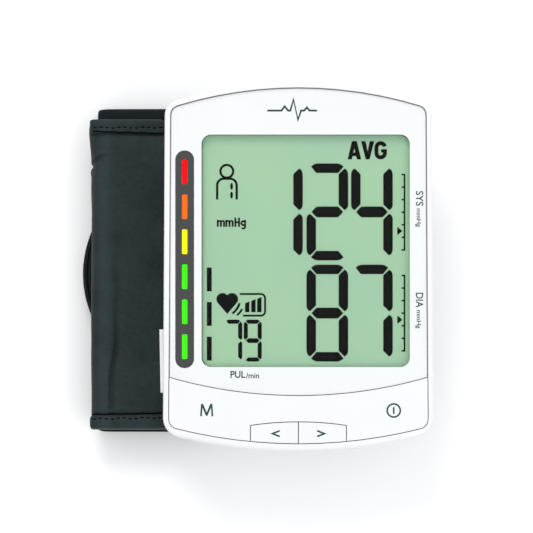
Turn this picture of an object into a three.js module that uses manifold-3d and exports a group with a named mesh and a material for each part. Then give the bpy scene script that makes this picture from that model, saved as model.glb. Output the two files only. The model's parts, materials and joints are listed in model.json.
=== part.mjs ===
// Upper arm blood pressure monitor lying face up on a table, with its folded cuff beside it.
// Sizes are millimetres and angles are radians.
// Table frame: +X right, +Y away from the user, +Z up, with the table at zero.
// Face frame: origin in the middle of the face, +Y up the face, +Z out of it.

import * as THREE from 'three';
import { mergeVertices } from 'three/addons/utils/BufferGeometryUtils.js';
import Module from 'manifold-3d';

const wasm = await Module();
wasm.setup();

const { degToRad } = THREE.MathUtils;

// Fits
const GAP = 0.3; // between pieces that fit or seat on each other
const KEY_TRAVEL = 0.8;
const ROCK_ANGLE = degToRad(0.75);
const REACH = 300; // longer than anything here, for cutting tools
const MERGE = 0.5; // how far solids that are joined run into each other

// Housing
const HOUSING_WIDTH = 122;
const HOUSING_LENGTH = 166.2;
const HOUSING_TAPER = 0.8; // how much each side comes in towards the far end
const FACE_HEIGHT = 56; // table to the middle of the face
const FACE_TILT = degToRad(5);
const FAR_END_RADIUS = 190;
const NEAR_END_RADIUS = 230;
const FAR_CORNER = 7;
const NEAR_CORNER = 9;
const SMALLEST_CORNER = 0.6;
const WALL = 2.2;
const COVER_DEPTH = 14;
const COVER_EDGE = 2;
const SLAB_DEPTH = 24;
const SLAB_EDGE = 6;
const SLAB_STEP = 0.4; // shadow line between the front cover and the rear housing
const LIP_WALL = 1.2;
const LIP_HEIGHT = 1.5;
const LIP_ROOT = 1.8;

// Pod: the narrower lower half of the rear housing, which stands on the table
const POD_NEAR_SETBACK = 17;
const POD_FAR_SETBACK = 11;
const POD_CORNER = 14;
const POD_EDGE = 3;
const POD_CLEARANCE = 1.5; // table to the pod's underside

// Face
const RIM_SIDE = 2.4;
const RIM_FAR = 2.2;
const RIM_NEAR = 3.3;
const FACE_CORNER = 4.7;
const DISH_DEPTH = 1.2;
const DISH_SLOPE = 0.3;
const SEAM = 0.4;
const FACE_PANEL_THICKNESS = 1.7;
const DECK_THICKNESS = 1.6;
const PARTING_RADIUS = 210;
const PARTING_SETBACK = 21.9; // face opening's near edge to the parting line, both in the middle

// Display
const WINDOW_LEFT_MARGIN = 14.6;
const WINDOW_RIGHT_MARGIN = 8;
const WINDOW_FAR_MARGIN = 21.3;
const WINDOW_NEAR_MARGIN = 12.8;
const WINDOW_CORNER = 4.3;
const LENS_BORDER = 2;
const LENS_THICKNESS = 1.2;
const LCD_THICKNESS = 2.8;
const FRAME_WALL = 1.8;
const FRAME_SHELF = 3;
const CONNECTOR_HEIGHT = 2.9;
const CONNECTOR_WIDTH = 2;

// Indicator strip and its coloured windows
const STRIP_MARGIN = 7; // face opening's left edge to the strip's middle
const STRIP_WIDTH = 7.9;
const STRIP_END_FLAT = 0.1; // half of the straight bit at each round end
const STRIP_SHORTFALL = 7.3; // how much shorter the strip is than the display window
const STRIP_DROP = 3.8; // strip's middle below the window's middle
const STRIP_PROUD = 0.1;
const LEVEL_WIDTH = 2.3;
const LEVEL_GAP = 4.75; // from one window to the next
const LEVEL_CORNER = 0.5;
const LEVEL_END_MARGIN = 3.8; // strip's end to the first window
const LEVEL_COLOURS = [0xff1408, 0xff7800, 0xfff000, 0x37e61e, 0x37e61e, 0x37e61e];

// Keys
const KEY_FLOOR_GAP = 0.4; // left under a key when it is fully pressed
const KEY_TOP_RADIUS = 146;
const KEY_HEIGHT = 9.9; // at the middle, from the face opening's near edge
const KEY_WIDTH = 21.4;
const KEY_PROUD = 0.2;
const KEY_SWITCH_MARGIN = 4.6; // face opening's near edge to the switches of the two small keys
const ROCKER_SWITCH_INSET = 16.4; // face opening's side to the rocker's switches
const ROCKER_SWITCH_MARGIN = 15.2;
const STEM_RADIUS = 1.8;
const STEM_CLEARANCE = 0.8;
const PIVOT_RADIUS = 1.4;
const PIVOT_NECK_HALF = 1;
const PIVOT_LENGTH = 7.6;
const PIVOT_DROP = 3.4; // rocker's axis below the face
const PIVOT_SETBACK = 2.4; // parting line to the end of the pivot
const CRADLE_WALL = 1.3;

// Board and what is on it
const BOARD_THICKNESS = 1.6;
const BOARD_FAR_MARGIN = 36;
const BOARD_BOSS_GAP = 1.5;
const SWITCH_SIZE = 6;
const SWITCH_HEIGHT = 3.5;
const SWITCH_FLOOR_GAP = 0.4; // left under a switch's button when it is fully pressed
const BUTTON_RADIUS = 1.7;
const BUTTON_LENGTH = 2.8;
const BUTTON_PROUD = 1;
const CHIP_SIZE = 14;
const CHIP_HEIGHT = 1.6;
const BUZZER_RADIUS = 6;
const BUZZER_HEIGHT = 4.5;
const SENSOR_SIZE = 9;
const SENSOR_HEIGHT = 4;
const NIPPLE_LENGTH = 3;

// Screws
const SCREW_SIDE_SETBACK = 8;
const SCREW_END_SETBACK = 15;
const SCREW_RADIUS = 1.25;
const SCREW_TIP = 7; // face to the screw's tip
const SCREW_HEAD_RADIUS = 2.6;
const SCREW_HEAD_HEIGHT = 2;
const SCREW_HEAD_DEPTH = 0.5; // housing's underside to the head
const SCREW_SOCKET_RADIUS = 1.1;
const SCREW_SOCKET_DEPTH = 0.9;
const SCREW_POINT = 1.5;
const BOSS_RADIUS = 3.5;

// Batteries, their compartment and its sliding door
const CELL_COUNT = 4;
const CELL_RADIUS = 7.2;
const CELL_LENGTH = 50.5;
const CELL_TIP_RADIUS = 2.7;
const CELL_TIP_LENGTH = 1.2;
const CONTACT_THICKNESS = 0.5;
const CONTACT_SPRING_RADIUS = 2.6;
const CONTACT_SPRING_LENGTH = 0.9;
const CONTACT_HEIGHT = 10;
const BAY_WALL = 3.4;
const BAY_ROOF = 1.6;
const DOOR_THICKNESS = 2;
const DOOR_TONGUE = 1.3;
const DOOR_TONGUE_THICKNESS = 1.1;

// Feet
const FOOT_RADIUS = 5;
const FOOT_HEIGHT = 1.9;
const FOOT_SIDE_MARGIN = 2.7; // pod's side to a foot
const FOOT_DOOR_MARGIN = 2.3; // battery door to a foot
const FOOT_END_INSET = 7.5; // pod's end to a foot's middle

// Pump, valve and air way
const PUMP_SETBACK = 20; // pod's near face to the pump's axis
const PUMP_LIFT = 1.5;
const MOTOR_RADIUS = 11;
const MOTOR_LENGTH = 24;
const MOTOR_SIDE_MARGIN = 2; // pod's left inner wall to the motor
const HEAD_SIZE = 24;
const HEAD_LENGTH = 20;
const HEAD_CORNER = 3;
const HEAD_CAVITY_RADIUS = 9;
const HEAD_CAVITY_DEPTH = 10;
const ECCENTRIC_RADIUS = 6;
const ECCENTRIC_OFFSET = 1.2;
const ECCENTRIC_WIDTH = 6;
const ECCENTRIC_SETBACK = 2;
const SHAFT_RADIUS = 1;
const SHAFT_LENGTH = 8;
const BARB_RADIUS = 1.5;
const BARB_LENGTH = 5;
const TUBE_RADIUS = 2.75;
const TUBE_BORE = 1.9;
const PUMP_TUBE_LENGTH = 11;
const TUBE_LIFT = 4; // battery bay's roof to the tube over it
const TUBE_BEND = 4;
const TUBE_CREST = 12;
const MANIFOLD_SIZE = 10;
const VALVE_SIZE = 12;
const VALVE_LENGTH = 13;
const PLUNGER_RADIUS = 2;
const PLUNGER_LENGTH = 8;
const PLUNGER_PROUD = 2.2;
const VALVE_BORE_DEPTH = 8;

// Sockets in the pod's far wall
const SOCKET_SPREAD = 26; // each socket's distance from the middle
const SOCKET_HEIGHT = 29;
const SOCKET_BORE = 3.5;
const SOCKET_BORE_DEPTH = 11;
const SOCKET_RADIUS = 5.2;
const SOCKET_LENGTH = 13;
const SOCKET_FLANGE_RADIUS = 7;
const SOCKET_FLANGE_THICKNESS = 1.2;
const AIR_WAY_RADIUS = 0.8;
const JACK_RADIUS = 4.2;
const JACK_BORE = 2.9;
const JACK_BORE_DEPTH = 9.5;
const JACK_PIN_RADIUS = 1;
const JACK_PIN_SETBACK = 1.5;
const JACK_BODY_WIDTH = 10;
const JACK_BODY_LENGTH = 12;

// Folded cuff, measured from the middle of the monitor
const CUFF_CLEARANCE = 6; // cuff to the pod's side
const FRONT_LAYER_LEFT = -94.2;
const FRONT_LAYER_NEAR = -70.8;
const FRONT_LAYER_FAR = 70.7;
const FRONT_LAYER_THICKNESS = 11.6;
const BACK_LAYER_LEFT = -91.4;
const BACK_LAYER_NEAR = -71.2;
const BACK_LAYER_FAR = 76.9;
const BACK_LAYER_THICKNESS = 7.6;
const BLADDER_THICKNESS = 3;
const BLADDER_MARGIN = 6;
const CUFF_EDGE = 2.4;
const CUFF_CORNER = 3;
const TAIL_RADIUS = 48;
const TAIL_LEFT = -96.7;
const TAIL_MIDDLE = 2.3;
const TAIL_RIGHT = -86;
const TAIL_BLADDER_GAP = 1;
const PORT_RADIUS = 3.4;
const PORT_BORE = 1.8;
const PORT_LENGTH = 4.6;
const PORT_INSET = 5; // cuff's right side to the air port
const PORT_FLOOR = 0.9;

const ARC_STEPS = 12;
const ROUND_STEPS = 20;
const SMALL_STEPS = 12;
const CORNER_STEPS = 5;
const POD_CORNER_STEPS = 8;
const TAIL_STEPS = 16;
const EDGE_STEPS = 2;
const BEVEL_STEPS = 3;
const TUBE_STEPS = 5;

// Levels in the face frame
const FACE_PANEL_TOP = -DISH_DEPTH;
const FACE_PANEL_BOTTOM = FACE_PANEL_TOP - FACE_PANEL_THICKNESS;
const DECK_TOP = FACE_PANEL_BOTTOM - GAP;
const DECK_BOTTOM = DECK_TOP - DECK_THICKNESS;
const LENS_BOTTOM = DECK_TOP - LENS_THICKNESS;
const LCD_TOP = LENS_BOTTOM - GAP;
const LCD_BOTTOM = LCD_TOP - LCD_THICKNESS;
const BOARD_TOP = LCD_BOTTOM - CONNECTOR_HEIGHT - 2 * GAP;
const BOARD_BOTTOM = BOARD_TOP - BOARD_THICKNESS;
const HOUSING_TOP = -COVER_DEPTH - GAP;
const SWITCH_TOP = BOARD_TOP + GAP + SWITCH_HEIGHT;
const BUTTON_TOP = SWITCH_TOP + BUTTON_PROUD;

// Outlines in the face frame
const housing = {
  halfFar: HOUSING_WIDTH / 2 - HOUSING_TAPER,
  halfNear: HOUSING_WIDTH / 2,
  far: HOUSING_LENGTH / 2,
  near: -HOUSING_LENGTH / 2,
  farRadius: FAR_END_RADIUS,
  nearRadius: NEAR_END_RADIUS,
  farCorner: FAR_CORNER,
  nearCorner: NEAR_CORNER,
};
const opening = {
  halfFar: housing.halfFar - RIM_SIDE,
  halfNear: housing.halfNear - RIM_SIDE,
  far: housing.far - RIM_FAR,
  near: housing.near + RIM_NEAR,
  farRadius: FAR_END_RADIUS - RIM_FAR,
  nearRadius: NEAR_END_RADIUS - RIM_NEAR,
  farCorner: FACE_CORNER,
  nearCorner: FACE_CORNER,
};
const openingHalf = (opening.halfFar + opening.halfNear) / 2;
const deepestPress = Math.max(KEY_TRAVEL, openingHalf * Math.sin(ROCK_ANGLE));
const KEY_BOTTOM = DECK_TOP + deepestPress + KEY_FLOOR_GAP;
const SWITCH_POCKET_BOTTOM = BUTTON_TOP - BUTTON_LENGTH - KEY_TRAVEL - SWITCH_FLOOR_GAP;
const partingLine = opening.near + PARTING_SETBACK;
const displayWindow = {
  left: -openingHalf + WINDOW_LEFT_MARGIN,
  right: openingHalf - WINDOW_RIGHT_MARGIN,
  near: partingLine + WINDOW_NEAR_MARGIN,
  far: opening.far - WINDOW_FAR_MARGIN,
};
const screwX = HOUSING_WIDTH / 2 - SCREW_SIDE_SETBACK;
const screwY = HOUSING_LENGTH / 2 - SCREW_END_SETBACK;
const boardHalf = screwX - BOSS_RADIUS - BOARD_BOSS_GAP;
const boardInset = WALL + LIP_WALL + 3 * GAP;
const keyTop = opening.near + KEY_HEIGHT;
const keySwitchY = opening.near + KEY_SWITCH_MARGIN;
const rockerSwitchX = openingHalf - ROCKER_SWITCH_INSET;
const rockerSwitchY = opening.near + ROCKER_SWITCH_MARGIN;
const pivotFar = partingLine - PIVOT_SETBACK;

// Places in the table frame
const cellPitch = 2 * CELL_RADIUS + GAP;
const bayHalf = (CELL_COUNT * cellPitch) / 2 + GAP;
const footX = bayHalf + DOOR_TONGUE + FOOT_DOOR_MARGIN + FOOT_RADIUS;
const podHalf = footX + FOOT_RADIUS + FOOT_SIDE_MARGIN;
const pod = {
  left: -podHalf,
  right: podHalf,
  near: -HOUSING_LENGTH / 2 + POD_NEAR_SETBACK,
  far: HOUSING_LENGTH / 2 - POD_FAR_SETBACK,
};
const podFloor = POD_CLEARANCE + WALL;
const bay = {
  half: bayHalf,
  far: pod.far - BAY_WALL,
  length: CELL_LENGTH + 2 * (CONTACT_THICKNESS + CONTACT_SPRING_LENGTH + 2 * GAP),
  top: POD_CLEARANCE + DOOR_THICKNESS + 2 * CELL_RADIUS + 3 * GAP,
};
bay.near = bay.far - bay.length;
const cellHeight = POD_CLEARANCE + DOOR_THICKNESS + GAP + CELL_RADIUS;
const pumpY = pod.near + PUMP_SETBACK;
const pumpZ = podFloor + PUMP_LIFT + HEAD_SIZE / 2;
const motorLeft = pod.left + WALL + MOTOR_SIDE_MARGIN;
const headLeft = motorLeft + MOTOR_LENGTH + GAP;
const headRight = headLeft + HEAD_LENGTH;
const manifoldLeft = headRight + PUMP_TUBE_LENGTH + 2 * GAP;
const manifoldRight = manifoldLeft + MANIFOLD_SIZE;
const valveLeft = manifoldRight + GAP;
const cuffRight = pod.left - CUFF_CLEARANCE;
const frontLayerBottom = BACK_LAYER_THICKNESS + BLADDER_THICKNESS + 2 * GAP;

const TO_TABLE = new THREE.Matrix4().makeRotationX(FACE_TILT).setPosition(0, 0, FACE_HEIGHT);

// ---- Geometry helpers ----

function solid(geometry, matrix = new THREE.Matrix4()) {
  const bare = geometry.clone().applyMatrix4(matrix);
  bare.deleteAttribute('normal');
  bare.deleteAttribute('uv');
  const welded = mergeVertices(bare, 1e-4);
  return new wasm.Manifold(
    new wasm.Mesh({
      numProp: 3,
      vertProperties: new Float32Array(welded.attributes.position.array),
      triVerts: new Uint32Array(welded.index.array),
    }),
  );
}

function shell(manifold) {
  const mesh = manifold.getMesh();
  const geometry = new THREE.BufferGeometry();
  geometry.setAttribute('position', new THREE.BufferAttribute(mesh.vertProperties, 3));
  geometry.setIndex(new THREE.BufferAttribute(mesh.triVerts, 1));
  geometry.computeVertexNormals();
  return geometry;
}

const joined = (...solids) => solids.reduce((whole, next) => whole.add(next));
const cut = (whole, ...tools) => tools.reduce((rest, tool) => rest.subtract(tool), whole);

function roundRect(left, near, right, far, radius) {
  const shape = new THREE.Shape();
  shape.absarc(right - radius, near + radius, radius, -Math.PI / 2, 0);
  shape.absarc(right - radius, far - radius, radius, 0, Math.PI / 2);
  shape.absarc(left + radius, far - radius, radius, Math.PI / 2, Math.PI);
  shape.absarc(left + radius, near + radius, radius, Math.PI, (3 * Math.PI) / 2);
  shape.closePath();
  return shape;
}

// A rounded panel with bowed ends, brought in by inset all round. Each end is a corner, an arc and a corner.
function outline(size, inset = 0) {
  const points = [];
  const trace = (curve, steps) => points.push(...curve.getPoints(steps).slice(0, -1));
  const ends = [
    { half: size.halfFar, end: size.far, radius: size.farRadius, corner: size.farCorner, side: 1 },
    { half: size.halfNear, end: size.near, radius: size.nearRadius, corner: size.nearCorner, side: -1 },
  ];
  for (const { half, end, radius, corner, side } of ends) {
    const arcRadius = radius - inset;
    const halfWidth = half - inset;
    const round = Math.max(corner - inset, SMALLEST_CORNER);
    const middleY = end - side * radius;
    const spread = Math.asin(halfWidth / arcRadius);
    const turn = Math.PI / 2 - spread;
    const reach = round * Math.tan(turn / 2);
    const pull = ((4 / 3) * Math.tan(turn / 4)) / Math.tan(turn / 2);
    const cornerY = middleY + side * arcRadius * Math.cos(spread);
    const arcHalf = spread - reach / arcRadius;
    const onSide = new THREE.Vector2(side * halfWidth, cornerY - side * reach);
    const tip = new THREE.Vector2(side * halfWidth, cornerY);
    const onArc = new THREE.Vector2(Math.sin(arcHalf), Math.cos(arcHalf)).multiplyScalar(side * arcRadius);
    onArc.y += middleY;
    const mirror = (point) => new THREE.Vector2(-point.x, point.y);
    const handleSide = onSide.clone().lerp(tip, pull);
    const handleArc = onArc.clone().lerp(tip, pull);
    const start = (side * Math.PI) / 2 - arcHalf;
    trace(new THREE.CubicBezierCurve(onSide, handleSide, handleArc, onArc), CORNER_STEPS);
    trace(new THREE.EllipseCurve(0, middleY, arcRadius, arcRadius, start, start + 2 * arcHalf), ARC_STEPS);
    trace(
      new THREE.CubicBezierCurve(mirror(onArc), mirror(handleArc), mirror(handleSide), mirror(onSide)),
      CORNER_STEPS,
    );
    points.push(mirror(onSide));
  }
  return new THREE.Shape(points);
}

// The region on one side of a shallow arc: side 1 keeps what is above it, -1 what is below it.
// bulge 1 means that the arc's middle is its highest point, -1 that it is its lowest.
function besideArc(middle, radius, bulge, side) {
  const shape = new THREE.Shape();
  const half = HOUSING_WIDTH / 2 + WALL;
  const spread = Math.asin(half / radius);
  const centre = middle - bulge * radius;
  const start = bulge > 0 ? Math.PI / 2 + spread : (3 * Math.PI) / 2 - spread;
  const end = bulge > 0 ? Math.PI / 2 - spread : (3 * Math.PI) / 2 + spread;
  shape.absarc(0, centre, radius, start, end, bulge > 0);
  shape.lineTo(half, middle + side * REACH);
  shape.lineTo(-half, middle + side * REACH);
  shape.closePath();
  return shape;
}

function plate(shape, bottom, top, curveSegments = ARC_STEPS) {
  const depth = top - bottom;
  const geometry = new THREE.ExtrudeGeometry(shape, { depth, bevelEnabled: false, curveSegments });
  return geometry.translate(0, 0, bottom);
}

function roundedPlate(shape, bottom, top, edge, curveSegments = ARC_STEPS, bevelSegments = BEVEL_STEPS) {
  const geometry = new THREE.ExtrudeGeometry(shape, {
    depth: top - bottom - 2 * edge,
    bevelThickness: edge,
    bevelSize: edge,
    bevelOffset: -edge,
    bevelSegments,
    curveSegments,
  });
  return geometry.translate(0, 0, bottom + edge);
}

function box(left, near, bottom, right, far, top) {
  const geometry = new THREE.BoxGeometry(right - left, far - near, top - bottom);
  return geometry.translate((left + right) / 2, (near + far) / 2, (bottom + top) / 2);
}

// A cylinder along one axis, between two places on it, through a point given by its other two coordinates.
function rod(axis, from, to, first, second, radius, steps = ROUND_STEPS) {
  const geometry = new THREE.CylinderGeometry(radius, radius, to - from, steps);
  geometry.translate(0, (from + to) / 2, 0);
  if (axis === 'x') {
    return geometry.rotateZ(-Math.PI / 2).translate(0, first, second);
  }
  if (axis === 'y') {
    return geometry.translate(first, 0, second);
  }
  return geometry.rotateX(Math.PI / 2).translate(first, second, 0);
}

function tube(points) {
  const section = new THREE.Shape().absarc(0, 0, TUBE_RADIUS, 0, 2 * Math.PI);
  section.holes.push(new THREE.Path().absarc(0, 0, TUBE_BORE, 0, 2 * Math.PI));
  const path = new THREE.CatmullRomCurve3(points);
  const steps = Math.max(2, Math.round(path.getLength() / (2 * TUBE_RADIUS)));
  return new THREE.ExtrudeGeometry(section, { steps, extrudePath: path, curveSegments: TUBE_STEPS });
}

// ---- Scene ----

const group = new THREE.Group();
const monitor = new THREE.Group();
const face = new THREE.Group();
const cuff = new THREE.Group();
face.applyMatrix4(TO_TABLE);
monitor.add(face);
group.add(monitor, cuff);

const FINISHES = {
  whiteShell: [0xf7f9f9, 0.38, 0],
  whiteBack: [0xeff1f1, 0.5, 0],
  clear: [0xcfe0d8, 0.05, 0],
  lcd: [0xa2c7a3, 0.25, 0],
  darkStrip: [0x4a4a4a, 0.45, 0],
  blackPlastic: [0x1d1f20, 0.5, 0],
  board: [0x1f6b45, 0.5, 0],
  steel: [0xc4c7ca, 0.3, 1],
  brass: [0xc9a75a, 0.35, 1],
  silicone: [0xd9dcda, 0.6, 0],
  rubber: [0x2a2c2d, 0.85, 0],
  cell: [0x3c5d8f, 0.4, 0.3],
  fabric: [0x303a3c, 0.9, 0],
  backFabric: [0x21282a, 0.92, 0],
};

function add(parent, name, geometry, [colour, roughness, metalness]) {
  const material = new THREE.MeshStandardMaterial({ color: colour, roughness, metalness });
  const mesh = new THREE.Mesh(geometry, material);
  mesh.name = name;
  parent.add(mesh);
}

// ---- Front cover: the rim, the skirt and the deck that carries the face ----

const lensOutline = (grow) =>
  roundRect(
    displayWindow.left - LENS_BORDER - grow,
    displayWindow.near - LENS_BORDER - grow,
    displayWindow.right + LENS_BORDER + grow,
    displayWindow.far + LENS_BORDER + grow,
    WINDOW_CORNER + grow,
  );

function frontCover() {
  const skin = cut(
    solid(roundedPlate(outline(housing), -COVER_DEPTH - COVER_EDGE, 0, COVER_EDGE)),
    solid(box(-REACH, -REACH, -REACH, REACH, REACH, -COVER_DEPTH)),
    solid(plate(outline(housing, WALL), -REACH, DECK_BOTTOM)),
  );
  const dish = new THREE.ExtrudeGeometry(outline(opening, DISH_SLOPE), {
    depth: DISH_DEPTH,
    bevelThickness: DISH_DEPTH,
    bevelSize: DISH_SLOPE,
    bevelSegments: 1,
    curveSegments: ARC_STEPS,
  });
  const cradleFar = pivotFar + CRADLE_WALL;
  const cradleNear = pivotFar - PIVOT_LENGTH - CRADLE_WALL;
  const cradleHalf = PIVOT_RADIUS + GAP + CRADLE_WALL;
  const grooveRadius = PIVOT_RADIUS + GAP;
  const bosses = screwPlaces().map(([x, y]) =>
    solid(rod('z', -COVER_DEPTH, DECK_BOTTOM + MERGE, x, y, BOSS_RADIUS)),
  );
  const bores = screwPlaces().map(([x, y]) =>
    solid(rod('z', -REACH, -SCREW_TIP + GAP, x, y, SCREW_RADIUS + GAP, SMALL_STEPS)),
  );
  const stems = stemPlaces().map(([x, y]) =>
    solid(rod('z', -REACH, REACH, x, y, STEM_RADIUS + STEM_CLEARANCE)),
  );
  const cradle = box(
    -cradleHalf,
    cradleNear,
    -PIVOT_DROP - cradleHalf,
    cradleHalf,
    cradleFar,
    DECK_BOTTOM + MERGE,
  );
  return cut(
    joined(skin, solid(cradle), ...bosses),
    solid(dish.translate(0, 0, -DISH_DEPTH)),
    solid(plate(outline(opening, DISH_SLOPE), DECK_TOP, REACH)),
    solid(plate(outline(opening), DECK_TOP, REACH)).intersect(
      solid(plate(besideArc(partingLine, PARTING_RADIUS, -1, -1), -REACH, REACH)),
    ),
    solid(plate(lensOutline(GAP), -REACH, REACH)),
    solid(rod('y', pivotFar - PIVOT_LENGTH - GAP, pivotFar + GAP, 0, -PIVOT_DROP, grooveRadius)),
    solid(
      box(-grooveRadius, pivotFar - PIVOT_LENGTH - GAP, -PIVOT_DROP, grooveRadius, pivotFar + GAP, REACH),
    ),
    ...stems,
    ...bores,
  );
}

function screwPlaces() {
  return [-1, 1].flatMap((side) => [-1, 1].map((end) => [side * screwX, end * screwY]));
}

function stemPlaces() {
  return [
    [-rockerSwitchX, rockerSwitchY],
    [rockerSwitchX, rockerSwitchY],
    [-KEY_WIDTH / 2, keySwitchY],
    [KEY_WIDTH / 2, keySwitchY],
  ];
}

// ---- Face panel, indicator strip and display ----

const strip = {
  x: -openingHalf + STRIP_MARGIN,
  y: (displayWindow.near + displayWindow.far) / 2 - STRIP_DROP,
  half: (displayWindow.far - displayWindow.near - STRIP_SHORTFALL) / 2,
};
const levelPitch = (2 * strip.half - 2 * LEVEL_END_MARGIN + LEVEL_GAP) / LEVEL_COLOURS.length;
const levelLength = levelPitch - LEVEL_GAP;
const levelY = (index) => strip.y + strip.half - LEVEL_END_MARGIN - levelLength / 2 - index * levelPitch;

function stripOutline(grow) {
  const half = STRIP_WIDTH / 2 + grow;
  const halfLength = strip.half + grow;
  const round = half - STRIP_END_FLAT;
  return roundRect(strip.x - half, strip.y - halfLength, strip.x + half, strip.y + halfLength, round);
}

function levelOutline(index, grow) {
  const y = levelY(index);
  const halfWidth = LEVEL_WIDTH / 2 + grow;
  const halfLength = levelLength / 2 + grow;
  return roundRect(strip.x - halfWidth, y - halfLength, strip.x + halfWidth, y + halfLength, LEVEL_CORNER);
}

function facePanel() {
  const { left, near, right, far } = displayWindow;
  return cut(
    solid(plate(outline(opening, DISH_SLOPE + GAP), FACE_PANEL_BOTTOM, FACE_PANEL_TOP)),
    solid(plate(besideArc(partingLine + SEAM / 2, PARTING_RADIUS, -1, -1), -REACH, REACH)),
    solid(plate(roundRect(left, near, right, far, WINDOW_CORNER), -REACH, REACH)),
    solid(plate(stripOutline(GAP), -REACH, REACH)),
  );
}

function indicatorStrip() {
  const holes = LEVEL_COLOURS.map((_, index) =>
    solid(plate(levelOutline(index, GAP), -REACH, REACH, EDGE_STEPS)),
  );
  return cut(solid(plate(stripOutline(0), FACE_PANEL_BOTTOM, FACE_PANEL_TOP + STRIP_PROUD)), ...holes);
}

function lcdFrame() {
  const top = DECK_BOTTOM - GAP;
  return cut(
    solid(plate(lensOutline(GAP + FRAME_WALL), BOARD_TOP + GAP, top, CORNER_STEPS)),
    solid(plate(lensOutline(GAP), LCD_BOTTOM - GAP, REACH, CORNER_STEPS)),
    solid(plate(lensOutline(-FRAME_SHELF), -REACH, REACH, CORNER_STEPS)),
  );
}

add(face, 'front_cover', shell(frontCover()), FINISHES.whiteShell);
add(face, 'face_panel', shell(facePanel()), FINISHES.whiteShell);
add(face, 'indicator_strip', shell(indicatorStrip()), FINISHES.darkStrip);
LEVEL_COLOURS.forEach((colour, index) => {
  const geometry = plate(levelOutline(index, 0), FACE_PANEL_BOTTOM, FACE_PANEL_TOP + STRIP_PROUD, EDGE_STEPS);
  add(face, `level_window_${index + 1}`, geometry, [colour, 0.3, 0]);
});
add(face, 'lcd_lens', plate(lensOutline(0), LENS_BOTTOM, DECK_TOP, CORNER_STEPS), FINISHES.clear);
add(face, 'lcd_panel', plate(lensOutline(0), LCD_BOTTOM, LCD_TOP, CORNER_STEPS), FINISHES.lcd);
add(face, 'lcd_frame', shell(lcdFrame()), FINISHES.blackPlastic);

const connectorNear = displayWindow.near - LENS_BORDER + FRAME_SHELF + GAP;
add(
  face,
  'elastomer_connector',
  box(
    displayWindow.left + FRAME_SHELF,
    connectorNear,
    BOARD_TOP + GAP,
    displayWindow.right - FRAME_SHELF,
    connectorNear + CONNECTOR_WIDTH,
    LCD_BOTTOM - GAP,
  ),
  FINISHES.silicone,
);

// ---- Rocking key panel and the two small keys ----

function keyPair(grow, bottom, top) {
  const reach = KEY_WIDTH + grow;
  return solid(plate(besideArc(keyTop + grow, KEY_TOP_RADIUS, 1, -1), bottom, top)).intersect(
    solid(box(-reach, -REACH, bottom, reach, REACH, top)),
  );
}

function keyPanel() {
  const panel = cut(
    solid(plate(outline(opening, SEAM), KEY_BOTTOM, 0)),
    solid(plate(besideArc(partingLine - SEAM / 2, PARTING_RADIUS, -1, 1), -REACH, REACH)),
    keyPair(SEAM, -REACH, REACH),
  );
  const legs = [-1, 1].map((side) =>
    solid(rod('z', BUTTON_TOP + GAP, KEY_BOTTOM / 2, side * rockerSwitchX, rockerSwitchY, STEM_RADIUS)),
  );
  const neck = box(
    -PIVOT_NECK_HALF,
    pivotFar - PIVOT_LENGTH,
    -PIVOT_DROP,
    PIVOT_NECK_HALF,
    pivotFar,
    KEY_BOTTOM / 2,
  );
  const barrel = rod('y', pivotFar - PIVOT_LENGTH, pivotFar, 0, -PIVOT_DROP, PIVOT_RADIUS);
  return joined(panel, solid(neck), solid(barrel), ...legs);
}

function smallKey(side) {
  const x = [side * (SEAM / 2), side * KEY_WIDTH].sort((a, b) => a - b);
  const cap = solid(plate(outline(opening, SEAM), KEY_BOTTOM, KEY_PROUD))
    .intersect(keyPair(0, -REACH, REACH))
    .intersect(solid(box(x[0], -REACH, -REACH, x[1], REACH, REACH)));
  const stem = rod('z', BUTTON_TOP + GAP, KEY_BOTTOM / 2, (side * KEY_WIDTH) / 2, keySwitchY, STEM_RADIUS);
  return joined(cap, solid(stem));
}

add(face, 'key_panel', shell(keyPanel()), FINISHES.whiteShell);
add(face, 'left_key', shell(smallKey(-1)), FINISHES.whiteShell);
add(face, 'right_key', shell(smallKey(1)), FINISHES.whiteShell);

// ---- Switches, board and what is on it ----

function switchBody([x, y]) {
  const half = SWITCH_SIZE / 2;
  return cut(
    solid(box(x - half, y - half, BOARD_TOP + GAP, x + half, y + half, SWITCH_TOP)),
    solid(rod('z', SWITCH_POCKET_BOTTOM, REACH, x, y, BUTTON_RADIUS + GAP)),
  );
}

['memory', 'power', 'left', 'right'].forEach((name, index) => {
  const [x, y] = stemPlaces()[index];
  const button = rod('z', BUTTON_TOP - BUTTON_LENGTH, BUTTON_TOP, x, y, BUTTON_RADIUS);
  add(face, `${name}_switch`, shell(switchBody([x, y])), FINISHES.steel);
  add(face, `${name}_switch_button`, button, FINISHES.blackPlastic);
});

function mainBoard() {
  const far = opening.far - BOARD_FAR_MARGIN;
  return solid(plate(outline(housing, boardInset), BOARD_BOTTOM, BOARD_TOP)).intersect(
    solid(box(-boardHalf, -REACH, -REACH, boardHalf, far, REACH)),
  );
}

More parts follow.
